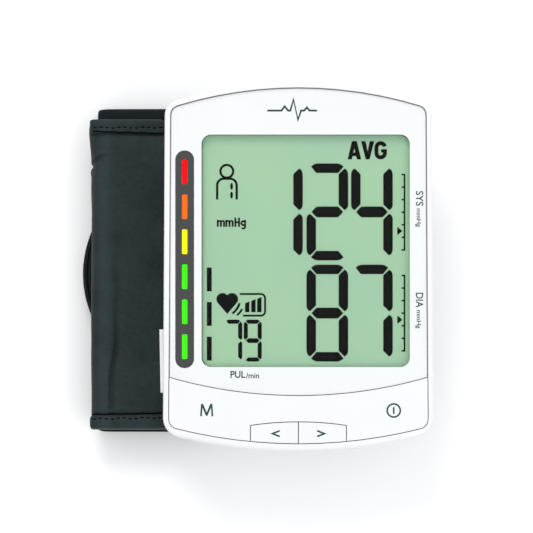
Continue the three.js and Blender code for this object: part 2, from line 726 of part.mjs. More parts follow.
const underBoard = BOARD_BOTTOM - GAP;
const chipHalf = CHIP_SIZE / 2;
const sensorHalf = SENSOR_SIZE / 2;
const sensorX = boardHalf / 2;
const sensorBottom = underBoard - SENSOR_HEIGHT;
add(face, 'main_board', shell(mainBoard()), FINISHES.board);
add(
  face,
  'processor_chip',
  box(-chipHalf, -chipHalf, underBoard - CHIP_HEIGHT, chipHalf, chipHalf, underBoard),
  FINISHES.blackPlastic,
);
add(
  face,
  'buzzer',
  rod('z', underBoard - BUZZER_HEIGHT, underBoard, -boardHalf / 2, 0, BUZZER_RADIUS),
  FINISHES.blackPlastic,
);
add(
  face,
  'pressure_sensor',
  shell(
    joined(
      solid(
        box(
          sensorX - sensorHalf,
          -sensorHalf,
          sensorBottom,
          sensorX + sensorHalf,
          sensorHalf,
          underBoard,
        ),
      ),
      solid(
        rod('z', sensorBottom - NIPPLE_LENGTH, sensorBottom + MERGE, sensorX, 0, BARB_RADIUS, SMALL_STEPS),
      ),
    ),
  ),
  FINISHES.blackPlastic,
);

// ---- Screws, driven from the rear housing into the front cover's bosses ----

const headBottom = -SLAB_DEPTH + SCREW_HEAD_DEPTH;
const headTop = headBottom + SCREW_HEAD_HEIGHT;

function screw([x, y]) {
  const profile = [
    [0, headBottom + SCREW_SOCKET_DEPTH],
    [SCREW_SOCKET_RADIUS, headBottom + SCREW_SOCKET_DEPTH],
    [SCREW_SOCKET_RADIUS, headBottom],
    [SCREW_HEAD_RADIUS, headBottom],
    [SCREW_HEAD_RADIUS, headTop],
    [SCREW_RADIUS, headTop],
    [SCREW_RADIUS, -SCREW_TIP - SCREW_POINT],
    [0, -SCREW_TIP],
  ].map(([radius, height]) => new THREE.Vector2(radius, height));
  return new THREE.LatheGeometry(profile, SMALL_STEPS).rotateX(Math.PI / 2).translate(x, y, 0);
}

screwPlaces().forEach((place, index) => {
  add(face, `screw_${index + 1}`, screw(place), FINISHES.steel);
});

// ---- Rear housing and battery door ----

const podOutline = (inset) =>
  roundRect(pod.left + inset, pod.near + inset, pod.right - inset, pod.far - inset, POD_CORNER - inset);
const podBlock = () => solid(roundedPlate(podOutline(0), POD_CLEARANCE, REACH, POD_EDGE, POD_CORNER_STEPS));
const onFace = (geometry) => solid(geometry, TO_TABLE);

// The door's plate and the wider tongue on top of it, grown by a clearance for the slot it slides in.
function doorBlock(grow, farEnd) {
  const split = POD_CLEARANCE + DOOR_THICKNESS - DOOR_TONGUE_THICKNESS;
  const wide = bay.half + DOOR_TONGUE;
  return joined(
    solid(box(-bay.half - grow, bay.near - grow, -REACH, bay.half + grow, farEnd, split + MERGE)),
    solid(
      box(
        -wide - grow,
        bay.near - DOOR_TONGUE - grow,
        split - grow,
        wide + grow,
        farEnd,
        POD_CLEARANCE + DOOR_THICKNESS + grow,
      ),
    ),
  );
}

const feet = [-1, 1].flatMap((side) =>
  [pod.near, pod.far].map((end) => [side * footX, end - Math.sign(end) * FOOT_END_INSET]),
);

function rearHousing() {
  const underCover = box(-REACH, -REACH, -REACH, REACH, REACH, HOUSING_TOP);
  const slab = roundedPlate(outline(housing, SLAB_STEP), -SLAB_DEPTH, SLAB_EDGE, SLAB_EDGE);
  const slabHollow = roundedPlate(
    outline(housing, SLAB_STEP + WALL),
    -SLAB_DEPTH + WALL,
    SLAB_EDGE,
    SLAB_EDGE - WALL,
  );
  const lipOuter = WALL + GAP;
  const lipInner = lipOuter + LIP_WALL;
  const bosses = screwPlaces().map(([x, y]) =>
    onFace(rod('z', -SLAB_DEPTH + WALL - MERGE, HOUSING_TOP, x, y, BOSS_RADIUS)),
  );
  const bossReliefs = screwPlaces().map(([x, y]) =>
    onFace(rod('z', HOUSING_TOP, REACH, x, y, BOSS_RADIUS + GAP)),
  );
  const screwHoles = screwPlaces().flatMap(([x, y]) => [
    onFace(rod('z', -REACH, REACH, x, y, SCREW_RADIUS + GAP, SMALL_STEPS)),
    onFace(rod('z', -REACH, headTop + GAP, x, y, SCREW_HEAD_RADIUS + GAP)),
  ]);
  const bayBlock = box(
    -bay.half - BAY_WALL,
    bay.near - BAY_WALL,
    podFloor - MERGE,
    bay.half + BAY_WALL,
    pod.far - WALL / 2,
    bay.top + BAY_ROOF,
  );
  const bayHollow = box(-bay.half, bay.near, 0, bay.half, bay.far, bay.top);
  const footRecesses = feet.map(([x, y]) =>
    solid(rod('z', -REACH, FOOT_HEIGHT + GAP, x, y, FOOT_RADIUS + GAP)),
  );
  const outer = joined(onFace(slab), podBlock()).intersect(onFace(underCover));
  const lip = cut(
    joined(
      onFace(plate(outline(housing, lipOuter), HOUSING_TOP - MERGE, HOUSING_TOP + LIP_HEIGHT)),
      onFace(plate(outline(housing, SLAB_STEP), HOUSING_TOP - LIP_ROOT, HOUSING_TOP)),
    ),
    onFace(plate(outline(housing, lipInner), -REACH, REACH)),
    ...bossReliefs,
  );
  const podHollow = plate(podOutline(WALL), podFloor, REACH, POD_CORNER_STEPS);
  const hollow = cut(outer, onFace(slabHollow), solid(podHollow));
  return cut(
    joined(hollow, lip, solid(bayBlock), ...bosses),
    solid(bayHollow),
    doorBlock(GAP, REACH),
    solid(rod('y', bay.far, REACH, -SOCKET_SPREAD, SOCKET_HEIGHT, SOCKET_RADIUS + GAP)),
    solid(rod('y', bay.far, REACH, SOCKET_SPREAD, SOCKET_HEIGHT, JACK_RADIUS + GAP)),
    ...screwHoles,
    ...footRecesses,
  );
}

add(monitor, 'rear_housing', shell(rearHousing()), FINISHES.whiteBack);
add(monitor, 'battery_door', shell(doorBlock(0, REACH).intersect(podBlock())), FINISHES.whiteBack);

feet.forEach(([x, y], index) => {
  add(monitor, `foot_${index + 1}`, rod('z', 0, FOOT_HEIGHT, x, y, FOOT_RADIUS), FINISHES.rubber);
});

// ---- Batteries and their contact strips ----

function cell(x, tipSide) {
  const bodyLength = CELL_LENGTH - CELL_TIP_LENGTH;
  const profile = [
    [0, -CELL_LENGTH / 2],
    [CELL_RADIUS, -CELL_LENGTH / 2],
    [CELL_RADIUS, -CELL_LENGTH / 2 + bodyLength],
    [CELL_TIP_RADIUS, -CELL_LENGTH / 2 + bodyLength],
    [CELL_TIP_RADIUS, CELL_LENGTH / 2],
    [0, CELL_LENGTH / 2],
  ].map(([radius, height]) => new THREE.Vector2(radius, height));
  const geometry = new THREE.LatheGeometry(profile, ROUND_STEPS);
  if (tipSide < 0) {
    geometry.rotateX(Math.PI);
  }
  return geometry.translate(x, (bay.near + bay.far) / 2, cellHeight);
}

// A flat strip across the cells with a low coil cone pressing on each second one.
function contactStrip(outerY, inward, firstCell) {
  const innerY = outerY + inward * CONTACT_THICKNESS;
  const half = bay.half - GAP;
  const cones = [firstCell, firstCell + 2].map((index) => {
    const root = outerY + (inward * CONTACT_THICKNESS) / 2;
    const ends = [root, innerY + inward * CONTACT_SPRING_LENGTH].sort((a, b) => a - b);
    return solid(rod('y', ...ends, cellX(index), cellHeight, CONTACT_SPRING_RADIUS, SMALL_STEPS));
  });
  const y = [outerY, innerY].sort((a, b) => a - b);
  const bottom = cellHeight - CONTACT_HEIGHT / 2;
  return joined(solid(box(-half, y[0], bottom, half, y[1], bottom + CONTACT_HEIGHT)), ...cones);
}

const cellX = (index) => (index - (CELL_COUNT - 1) / 2) * cellPitch;
for (let index = 0; index < CELL_COUNT; index += 1) {
  add(monitor, `battery_${index + 1}`, cell(cellX(index), index % 2 === 0 ? 1 : -1), FINISHES.cell);
}
add(monitor, 'battery_contact_near', shell(contactStrip(bay.near + GAP, 1, 0)), FINISHES.steel);
add(monitor, 'battery_contact_far', shell(contactStrip(bay.far - GAP, -1, 1)), FINISHES.steel);

// ---- Pump, valve, manifold and air tubes ----

function pumpMotor() {
  return cut(
    solid(rod('x', motorLeft, motorLeft + MOTOR_LENGTH, pumpY, pumpZ, MOTOR_RADIUS)),
    solid(rod('x', headLeft - SHAFT_LENGTH - GAP, REACH, pumpY, pumpZ, SHAFT_RADIUS + GAP, SMALL_STEPS)),
  );
}

function pumpHead() {
  const half = HEAD_SIZE / 2;
  const section = roundRect(pumpY - half, pumpZ - half, pumpY + half, pumpZ + half, HEAD_CORNER);
  const block = plate(section, 0, HEAD_LENGTH, CORNER_STEPS).rotateX(Math.PI / 2).rotateZ(Math.PI / 2);
  return cut(
    joined(
      solid(block.translate(headLeft, 0, 0)),
      solid(rod('x', headRight - MERGE, headRight + BARB_LENGTH, pumpY, pumpZ, BARB_RADIUS, SMALL_STEPS)),
    ),
    solid(rod('x', -REACH, headLeft + HEAD_CAVITY_DEPTH, pumpY, pumpZ, HEAD_CAVITY_RADIUS)),
  );
}

function pumpEccentric() {
  const discLeft = headLeft + ECCENTRIC_SETBACK;
  return joined(
    solid(rod('x', headLeft - SHAFT_LENGTH, discLeft + MERGE, pumpY, pumpZ, SHAFT_RADIUS, SMALL_STEPS)),
    solid(rod('x', discLeft, discLeft + ECCENTRIC_WIDTH, pumpY, pumpZ + ECCENTRIC_OFFSET, ECCENTRIC_RADIUS)),
  );
}

const manifoldX = (manifoldLeft + manifoldRight) / 2;
const manifoldFar = pumpY + MANIFOLD_SIZE / 2;

function airManifold() {
  const half = MANIFOLD_SIZE / 2;
  return joined(
    solid(box(manifoldLeft, pumpY - half, pumpZ - half, manifoldRight, manifoldFar, pumpZ + half)),
    solid(
      rod('x', manifoldLeft - BARB_LENGTH, manifoldLeft + MERGE, pumpY, pumpZ, BARB_RADIUS, SMALL_STEPS),
    ),
    solid(
      rod('y', manifoldFar - MERGE, manifoldFar + BARB_LENGTH, manifoldX, pumpZ, BARB_RADIUS, SMALL_STEPS),
    ),
  );
}

function exhaustValve() {
  const half = VALVE_SIZE / 2;
  const right = valveLeft + VALVE_LENGTH;
  return cut(
    solid(box(valveLeft, pumpY - half, pumpZ - half, right, pumpY + half, pumpZ + half)),
    solid(rod('x', right - VALVE_BORE_DEPTH, REACH, pumpY, pumpZ, PLUNGER_RADIUS + GAP)),
  );
}

const plungerRight = valveLeft + VALVE_LENGTH + PLUNGER_PROUD;
const plunger = rod('x', plungerRight - PLUNGER_LENGTH, plungerRight, pumpY, pumpZ, PLUNGER_RADIUS);
const pumpTube = tube([
  new THREE.Vector3(headRight + GAP, pumpY, pumpZ),
  new THREE.Vector3(manifoldLeft - GAP, pumpY, pumpZ),
]);

// Over the battery bay's roof, from the manifold to the air socket's inner end.
const socketBack = pod.far - SOCKET_LENGTH;
const overBay = bay.top + BAY_ROOF + TUBE_RADIUS + TUBE_LIFT;
const tubeStart = [0, 1, 2].map(
  (step) => new THREE.Vector3(manifoldX, manifoldFar + GAP + step * BARB_LENGTH, pumpZ),
);
const tubeEnd = [3, 2, 1, 0].map(
  (step) => new THREE.Vector3(-SOCKET_SPREAD, socketBack - GAP - step * BARB_LENGTH, SOCKET_HEIGHT),
);
const socketTube = tube([
  ...tubeStart,
  new THREE.Vector3(
    manifoldX - TUBE_BEND,
    bay.near - BAY_WALL - TUBE_BEND,
    (pumpZ + overBay + TUBE_BEND) / 2,
  ),
  new THREE.Vector3((manifoldX - SOCKET_SPREAD) / 2, bay.near + TUBE_CREST, overBay),
  ...tubeEnd,
]);

add(monitor, 'pump_motor', shell(pumpMotor()), FINISHES.steel);
add(monitor, 'pump_head', shell(pumpHead()), FINISHES.blackPlastic);
add(monitor, 'pump_eccentric', shell(pumpEccentric()), FINISHES.brass);
add(monitor, 'air_manifold', shell(airManifold()), FINISHES.silicone);
add(monitor, 'exhaust_valve', shell(exhaustValve()), FINISHES.blackPlastic);
add(monitor, 'valve_plunger', plunger, FINISHES.steel);
add(monitor, 'pump_tube', pumpTube, FINISHES.silicone);
add(monitor, 'socket_tube', socketTube, FINISHES.silicone);

// ---- Air socket and power jack in the pod's far wall ----

function airSocket() {
  const front = pod.far + GAP + SOCKET_FLANGE_THICKNESS;
  const place = [-SOCKET_SPREAD, SOCKET_HEIGHT];
  return cut(
    joined(
      solid(rod('y', pod.far + GAP, front, ...place, SOCKET_FLANGE_RADIUS)),
      solid(rod('y', socketBack, pod.far + GAP + MERGE, ...place, SOCKET_RADIUS)),
      solid(rod('y', socketBack - BARB_LENGTH, socketBack + MERGE, ...place, BARB_RADIUS, SMALL_STEPS)),
    ),
    solid(rod('y', front - SOCKET_BORE_DEPTH, REACH, ...place, SOCKET_BORE)),
    solid(rod('y', -REACH, REACH, ...place, AIR_WAY_RADIUS, SMALL_STEPS)),
  );
}

function powerJack() {
  const front = pod.far + SOCKET_FLANGE_THICKNESS / 2;
  const bodyFar = pod.far - WALL - GAP;
  const bodyNear = bodyFar - JACK_BODY_LENGTH;
  const half = JACK_BODY_WIDTH / 2;
  const place = [SOCKET_SPREAD, SOCKET_HEIGHT];
  const body = box(
    SOCKET_SPREAD - half,
    bodyNear,
    SOCKET_HEIGHT - half,
    SOCKET_SPREAD + half,
    bodyFar,
    SOCKET_HEIGHT + half,
  );
  const boreEnd = front - JACK_BORE_DEPTH;
  const barrel = joined(solid(body), solid(rod('y', bodyFar - MERGE, front, ...place, JACK_RADIUS)));
  const bore = solid(rod('y', boreEnd, REACH, ...place, JACK_BORE));
  const pin = rod('y', boreEnd - MERGE, front - JACK_PIN_SETBACK, ...place, JACK_PIN_RADIUS, SMALL_STEPS);
  return cut(barrel, bore).add(solid(pin));
}

add(monitor, 'air_socket', shell(airSocket()), FINISHES.blackPlastic);
add(monitor, 'power_jack', shell(powerJack()), FINISHES.blackPlastic);

// ---- Folded cuff ----

function cushion(left, near, bottom, right, far, top) {
  const shape = roundRect(left, near, right, far, CUFF_CORNER);
  return roundedPlate(shape, bottom, top, CUFF_EDGE, CORNER_STEPS, EDGE_STEPS);
}

const tailOutline = new THREE.Shape();
const tailSpread = Math.acos((TAIL_RADIUS - (TAIL_RIGHT - TAIL_LEFT)) / TAIL_RADIUS);
tailOutline.absarc(
  TAIL_LEFT + TAIL_RADIUS,
  TAIL_MIDDLE,
  TAIL_RADIUS,
  Math.PI - tailSpread,
  Math.PI + tailSpread,
);
tailOutline.closePath();
const bladderBottom = BACK_LAYER_THICKNESS + GAP;
const bladderTop = bladderBottom + BLADDER_THICKNESS;
const portRoot = FRONT_LAYER_FAR + GAP;
const portPlace = [cuffRight - PORT_INSET, frontLayerBottom + FRONT_LAYER_THICKNESS / 2];
const airPort = cut(
  solid(rod('y', portRoot, portRoot + PORT_LENGTH, ...portPlace, PORT_RADIUS)),
  solid(rod('y', portRoot + PORT_FLOOR, REACH, ...portPlace, PORT_BORE, SMALL_STEPS)),
);

add(
  cuff,
  'cuff_front_layer',
  cushion(
    FRONT_LAYER_LEFT,
    FRONT_LAYER_NEAR,
    frontLayerBottom,
    cuffRight,
    FRONT_LAYER_FAR,
    frontLayerBottom + FRONT_LAYER_THICKNESS,
  ),
  FINISHES.fabric,
);
add(
  cuff,
  'cuff_back_layer',
  cushion(BACK_LAYER_LEFT, BACK_LAYER_NEAR, 0, cuffRight, BACK_LAYER_FAR, BACK_LAYER_THICKNESS),
  FINISHES.backFabric,
);
add(
  cuff,
  'cuff_bladder',
  box(
    TAIL_RIGHT + TAIL_BLADDER_GAP,
    FRONT_LAYER_NEAR + BLADDER_MARGIN,
    bladderBottom,
    cuffRight - BLADDER_MARGIN / 2,
    FRONT_LAYER_FAR - BLADDER_MARGIN,
    bladderTop,
  ),
  FINISHES.rubber,
);
add(cuff, 'cuff_tail', plate(tailOutline, bladderBottom, bladderTop, TAIL_STEPS), FINISHES.backFabric);
add(cuff, 'cuff_air_port', shell(airPort), FINISHES.blackPlastic);

// The origin is on the table, under the middle of the whole part.
const extent = new THREE.Box3().setFromObject(group, true);
const middle = extent.getCenter(new THREE.Vector3());
group.position.set(-middle.x, -middle.y, 0);
group.updateMatrixWorld(true);

export default group;
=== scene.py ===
import json
import math

import bmesh
import bpy
from bpy.props import FloatProperty, FloatVectorProperty, IntProperty, PointerProperty, StringProperty
from bpy.types import Operator, Panel, PropertyGroup
from mathutils import Matrix, Vector


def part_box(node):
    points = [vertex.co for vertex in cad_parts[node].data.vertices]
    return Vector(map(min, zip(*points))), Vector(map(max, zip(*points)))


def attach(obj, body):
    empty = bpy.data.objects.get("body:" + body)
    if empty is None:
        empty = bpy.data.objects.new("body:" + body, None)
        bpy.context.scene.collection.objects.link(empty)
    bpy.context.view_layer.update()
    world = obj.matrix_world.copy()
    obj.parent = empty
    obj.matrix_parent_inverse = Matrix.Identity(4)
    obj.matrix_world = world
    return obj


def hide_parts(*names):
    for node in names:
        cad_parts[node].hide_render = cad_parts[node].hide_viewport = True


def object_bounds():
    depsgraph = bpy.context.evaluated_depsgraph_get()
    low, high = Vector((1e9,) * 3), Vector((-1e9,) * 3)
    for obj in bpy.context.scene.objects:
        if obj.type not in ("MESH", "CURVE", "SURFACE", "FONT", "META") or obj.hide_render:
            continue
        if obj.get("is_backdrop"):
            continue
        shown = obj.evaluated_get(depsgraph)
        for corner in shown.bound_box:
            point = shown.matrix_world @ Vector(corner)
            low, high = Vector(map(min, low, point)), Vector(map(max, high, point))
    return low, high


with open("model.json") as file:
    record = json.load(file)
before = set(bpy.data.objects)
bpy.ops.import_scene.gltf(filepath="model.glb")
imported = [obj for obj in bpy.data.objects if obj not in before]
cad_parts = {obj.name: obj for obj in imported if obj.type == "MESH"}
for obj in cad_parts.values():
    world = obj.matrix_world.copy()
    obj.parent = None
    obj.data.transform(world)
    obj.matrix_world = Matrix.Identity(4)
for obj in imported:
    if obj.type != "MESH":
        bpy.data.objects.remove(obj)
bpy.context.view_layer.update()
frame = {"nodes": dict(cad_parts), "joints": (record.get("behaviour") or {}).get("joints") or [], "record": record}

bl_info = {
    "name": "Arm Blood Pressure Monitor",
    "version": (1, 0, 0),
    "blender": (4, 5, 0),
    "location": "View3D > Sidebar > Monitor",
    "description": "Builds the visible pieces of a desk blood pressure monitor with its folded arm cuff",
    "category": "Object",
}

MM = 0.001
NODES = frame["nodes"]
PRINT_SINK = 0.01 * MM


# ---- Places taken from the frame ----

def joint_axis(name):
    found = [joint for joint in frame["joints"] if joint["name"] == name]
    if not found:
        raise RuntimeError(f"the frame has no joint {name}")
    return Vector(found[0]["axis"])


def face_frame():
    """The face's own frame: origin in the middle of the face, +Y up the face, +Z out of it."""
    outward = -joint_axis("left_key_press")
    up_face = joint_axis("key_rock")
    right = up_face.cross(outward)
    points = [vertex.co for vertex in NODES["front_cover"].data.vertices]
    low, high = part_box("front_cover")
    along = [point.dot(up_face) for point in points]
    level = max(point.dot(outward) for point in points)
    middle = right * (low.x + high.x) / 2 + up_face * (min(along) + max(along)) / 2 + outward * level
    turned = Matrix((right, up_face, outward)).transposed().to_4x4()
    return Matrix.Translation(middle) @ turned


FACE = face_frame()
TO_FACE = FACE.inverted()


def face_level(node):
    """The height of a node's top above the face's own plane."""
    return max((TO_FACE @ vertex.co).z for vertex in NODES[node].data.vertices)


# ---- Settings ----

def colour_setting(name, description, default):
    return FloatVectorProperty(name=name, description=description, default=default, subtype="COLOR")


def length_setting(name, description, millimetres):
    return FloatProperty(name=name, description=description, default=millimetres * MM, unit="LENGTH")


class HousingSettings(PropertyGroup):
    edge_width: length_setting("Edge width", "Rounding of the moulded edges", 0.25)
    edge_angle: FloatProperty(
        name="Edge angle", description="Edges that turn more than this are rounded",
        default=math.radians(24), subtype="ANGLE",
    )
    shell_colour: colour_setting("Shell", "Colour of the front cover", (0.775, 0.785, 0.79))
    face_colour: colour_setting("Face", "Colour of the face panel", (0.75, 0.768, 0.772))
    key_colour: colour_setting("Keys", "Colour of the key panel and keys", (0.765, 0.78, 0.782))
    back_colour: colour_setting("Back", "Colour of the rear housing", (0.66, 0.675, 0.68))
    ink_colour: colour_setting("Print", "Colour of the printed legends", (0.026, 0.062, 0.06))


class DisplaySettings(PropertyGroup):
    glass_colour: colour_setting("Glass", "Colour of the display", (0.36, 0.555, 0.37))
    digit_height: length_setting("Digit height", "Height of the large digits", 43.7)
    small_digit_height: length_setting("Small digit height", "Height of the pulse digits", 18.9)
    ink_thickness: length_setting("Ink thickness", "Thickness of the lit segments", 0.06)
    print_thickness: length_setting("Print thickness", "Thickness of the printed legends", 0.03)
    systolic: StringProperty(name="Systolic", description="Upper reading", default="124")
    diastolic: StringProperty(name="Diastolic", description="Lower reading", default="87")
    pulse: StringProperty(name="Pulse", description="Pulse reading", default="79")


class CuffSettings(PropertyGroup):
    fabric_colour: colour_setting("Fabric", "Colour of the ribbed nylon", (0.0145, 0.0225, 0.0245))
    back_colour: colour_setting("Back fabric", "Colour of the loop fabric", (0.007, 0.0115, 0.0135))
    voxel: length_setting("Voxel", "Mesh spacing of the padded layers", 2.4)
    pressure: FloatProperty(name="Pressure", description="Air pressure in the padded layers", default=4.0)
    swell: length_setting("Swell", "The most that the padding stands proud", 1.1)
    settle_frames: IntProperty(name="Frames", description="Frames that the padding settles for", default=20)
    stitch_pitch: length_setting("Stitch pitch", "From one stitch to the next", 2.7)
    hem_width: length_setting("Hem width", "Width of the turned hem", 6.0)


class StageSettings(PropertyGroup):
    lens: FloatProperty(name="Lens", description="Focal length", default=400.0, unit="CAMERA")
    view_width: length_setting("View width", "Width seen at the face", 239.85)
    view_right: length_setting("View centre", "Middle of the view, right of the face's middle", -14.36)
    view_up: length_setting("View height", "Middle of the view, above the face's middle", 0.2)
    key_power: FloatProperty(
        name="Key light", description="Power of the main light", default=9.0, unit="POWER"
    )
    fill_power: FloatProperty(
        name="Fill light", description="Power of the fill light", default=4.0, unit="POWER"
    )
    sky: FloatProperty(
        name="Sky", description="Strength of the even light all round", default=0.98, subtype="FACTOR"
    )


# ---- Materials ----

class Signal:
    """A value in a material. Arithmetic on it adds Math nodes."""

    def __init__(self, finish, socket):
        self.finish, self.socket = finish, socket

    def maths(self, operation, *values):
        return self.finish.node("ShaderNodeMath", {"operation": operation}, dict(enumerate(values)))

    def sine(self, length):
        """Runs from -1 to 1 and back over each length."""
        return self.maths("SINE", self * (2 * math.pi / length))

    def __add__(self, other):
        return self.maths("ADD", self, other)

    def __radd__(self, other):
        return self.maths("ADD", other, self)

    def __sub__(self, other):
        return self.maths("SUBTRACT", self, other)

    def __rsub__(self, other):
        return self.maths("SUBTRACT", other, self)

    def __mul__(self, other):
        return self.maths("MULTIPLY", self, other)

    def __rmul__(self, other):
        return self.maths("MULTIPLY", other, self)


class Finish:
    """One procedural material. Lengths in its patterns are millimetres."""

    def __init__(self, name):
        self.material = bpy.data.materials.new(name)
        self.material.use_nodes = True
        self.tree = self.material.node_tree
        self.tree.nodes.clear()
        self.output = self.tree.nodes.new("ShaderNodeOutputMaterial")
        metres = self.node("ShaderNodeTexCoord", output="Object")
        self.place = self.node("ShaderNodeVectorMath", {"operation": "SCALE"}, {0: metres, "Scale": 1 / MM})

    def node(self, kind, settings=None, inputs=None, output=0):
        made = self.tree.nodes.new(kind)
        for key, value in (settings or {}).items():
            setattr(made, key, value)
        for key, value in (inputs or {}).items():
            if isinstance(value, Signal):
                self.tree.links.new(value.socket, made.inputs[key])
            else:
                made.inputs[key].default_value = value
        return Signal(self, made.outputs[output])

    def noise(self, scale, detail=2.0, roughness=0.5, place=None):
        """Smooth random patches from 0 to 1, with scale patches to the millimetre."""
        inputs = {"Vector": place or self.place, "Scale": scale, "Detail": detail, "Roughness": roughness}
        return self.node("ShaderNodeTexNoise", inputs=inputs)

    def wave(self, scale, direction, distortion=0.0):
        """Parallel bands from 0 to 1."""
        settings = {"wave_type": "BANDS", "bands_direction": direction, "wave_profile": "SIN"}
        inputs = {"Vector": self.place, "Scale": scale, "Distortion": distortion}
        return self.node("ShaderNodeTexWave", settings, inputs, output="Fac")

    def cells(self, scale):
        return self.node("ShaderNodeTexVoronoi", inputs={"Vector": self.place, "Scale": scale})

    def spread(self, value, low, high):
        """Stretches what lies between low and high to 0 and 1, and clips the rest."""
        inputs = {"Value": value, "From Min": low, "From Max": high}
        return self.node("ShaderNodeMapRange", {"clamp": True}, inputs)

    def band(self, value, start, full, fading, end):
        """1 from full to fading, and 0 before start and after end."""
        return self.spread(value, start, full) * (1 - self.spread(value, fading, end))

    def coordinate(self, axis):
        return self.node("ShaderNodeSeparateXYZ", inputs={0: self.place}, output=axis)

    def mix(self, factor, first, second):
        inputs = {0: factor, 6: tint(first), 7: tint(second)}
        return self.node("ShaderNodeMix", {"data_type": "RGBA"}, inputs, output=2)

    def bump(self, height, strength, depth):
        inputs = {"Height": height, "Strength": strength, "Distance": depth * MM}
        return self.node("ShaderNodeBump", inputs=inputs, output="Normal")

    def shader(self, base, roughness, normal=None, **uniform):
        """The main shader. uniform sets its other sockets, with _ for a space."""
        inputs = {"Base Color": tint(base), "Roughness": roughness}
        if normal is not None:
            inputs["Normal"] = normal
        for key, value in uniform.items():
            inputs[key.replace("_", " ")] = value
        return self.node("ShaderNodeBsdfPrincipled", inputs=inputs)


def tint(colour):
    """A colour with its alpha, or a signal as it is."""
    if isinstance(colour, Signal):
        return colour
    return (*tuple(colour)[:3], 1.0)


def shade(colour, amount):
    return tuple(min(1.0, part * amount) for part in tuple(colour)[:3])


def finished(name, maker, *values):
    """A new material whose shader is made by one of the functions below."""
    made = Finish(name)
    made.tree.links.new(maker(made, *values).socket, made.output.inputs["Surface"])
    return made.material


def moulded_plastic(made, colour, roughness, grain=0.12, coat=0.0):
    """Injection-moulded plastic: a very fine skin texture and faint flow marks."""
    flow = made.noise(0.05, 3.0)
    skin = made.noise(2.4, 2.0, 0.6)
    base = made.mix(made.spread(flow, 0.3, 0.7), shade(colour, 0.985), shade(colour, 1.01))
    rough = roughness + 0.08 * (skin - 0.5) + 0.04 * (flow - 0.5)
    return made.shader(base, rough, made.bump(skin, grain, 0.02), Coat_Weight=coat, Coat_Roughness=0.12)


def display_glass(made, colour):
    """The display behind its polariser: a slow drift of colour and fine cell lines."""
    red, green, blue = colour
    drift = made.spread(made.noise(0.02, 1.0), 0.35, 0.65)
    lines = made.wave(1.6, "Y")
    cool = made.mix(drift, colour, (red * 0.95, green * 0.965, blue * 1.04))
    base = made.mix(0.025 * lines, cool, shade(colour, 0.6))
    return made.shader(base, 0.42 + 0.04 * lines, Specular_IOR_Level=0.2)


def clear_cover(made, colour):
    """A clear window with faint haze: see-through, with a weak reflection at a slant."""
    haze = made.noise(0.4, 2.0)
    clear = made.node("ShaderNodeBsdfTransparent", inputs={"Color": tint(colour)})
    gloss = made.node("ShaderNodeBsdfGlossy", inputs={"Roughness": 0.06, "Color": (1.0, 1.0, 1.0, 1.0)})
    slant = made.node("ShaderNodeFresnel", inputs={"IOR": 1.16})
    return made.node("ShaderNodeMixShader", inputs={0: slant * (0.5 + 0.1 * haze), 1: clear, 2: gloss})


def dark_ink(made, colour):
    """Solid print or a switched-on segment, a little uneven in its gloss."""
    speckle = made.noise(1.8, 3.0)
    base = made.mix(speckle, shade(colour, 0.9), shade(colour, 1.1))
    return made.shader(base, 0.6 + 0.1 * speckle, Specular_IOR_Level=0.05)


def coloured_window(made, colour, glow):
    """A translucent window over the level strip, lit a little from within."""
    depth = made.noise(0.35, 2.0)
    base = made.mix(depth, shade(colour, 0.93), colour)
    light = {"Emission_Color": tint(colour), "Emission_Strength": glow}
    return made.shader(base, 0.4 + 0.06 * depth, Specular_IOR_Level=0.12, **light)


def ribbed_nylon(made, colour):
    """Woven nylon: fine cross ribs that come and go, slubs, a painted highlight on the ridge along the left edge
    and painted shade in the crease beside it.
    """
    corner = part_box("cuff_front_layer")[0] / MM
    rib, thread = 0.82, 0.46
    ribs = (made.coordinate("Y") + 0.5 * made.noise(0.12, 2.0)).sine(rib) * 0.5 + 0.5
    threads = made.coordinate("X").sine(thread)
    slub = made.noise(0.55, 4.0, 0.6)
    mottle = made.noise(0.045, 3.0)
    fine = made.noise(1.3, 3.0, 0.7)
    patch = made.spread(made.noise(0.07, 2.0), 0.42, 0.62)
    weave = ribs * (0.8 + 0.2 * threads) * (0.25 + 0.75 * patch)
    x = made.coordinate("X") - corner.x + 1.6 * (mottle - 0.5)
    y = made.coordinate("Y") - corner.y
    # Painted highlight: a lighter band on the ridge along the rounded left edge.
    painted_ridge_highlight = made.band(x, 2.0, 5.5, 7.5, 10.5)
    # Painted shade: a darker line in the crease beside the ridge.
    bent = x + 2.4 * (1 - made.spread(y, 24.0, 40.0))
    crease = made.band(bent, 9.6, 11.0, 11.2, 13.4) * made.band(y, 8.0, 11.0, 44.0, 80.0)
    light = 0.3 * weave + 0.45 * slub + 0.6 * (mottle - 0.35) + 0.3 * fine + 0.24 * painted_ridge_highlight - 0.3 * crease
    base = made.mix(made.spread(light, 0.15, 0.95), shade(colour, 0.5), shade(colour, 1.75))
    normal = made.bump(weave + 0.5 * slub + 0.3 * fine, 0.45, 0.14)
    return made.shader(base, 0.78 - 0.1 * weave, normal, Specular_IOR_Level=0.16, Sheen_Weight=0.04)


def loop_fabric(made, colour):
    """Brushed loop pile: dense fuzzy tufts."""
    tufts = made.cells(1.4)
    fuzz = made.noise(2.2, 4.0, 0.7)
    patch = made.noise(0.05, 2.0)
    base = made.mix(0.5 * fuzz + 0.5 * patch, shade(colour, 0.7), shade(colour, 1.35))
    normal = made.bump(fuzz - 0.6 * tufts, 0.6, 0.25)
    return made.shader(base, 0.9 - 0.08 * fuzz, normal, Specular_IOR_Level=0.1, Sheen_Weight=0.04)


def sewing_thread(made, colour):
    """Twisted thread: slanting plies along its length."""
    twist = (made.coordinate("X") + made.coordinate("Y") + made.coordinate("Z")).sine(0.35)
    base = made.mix(0.5 + 0.5 * twist, shade(colour, 0.7), shade(colour, 1.25))
    return made.shader(base, 0.75 + 0.08 * twist, made.bump(twist, 0.5, 0.06), Specular_IOR_Level=0.04)


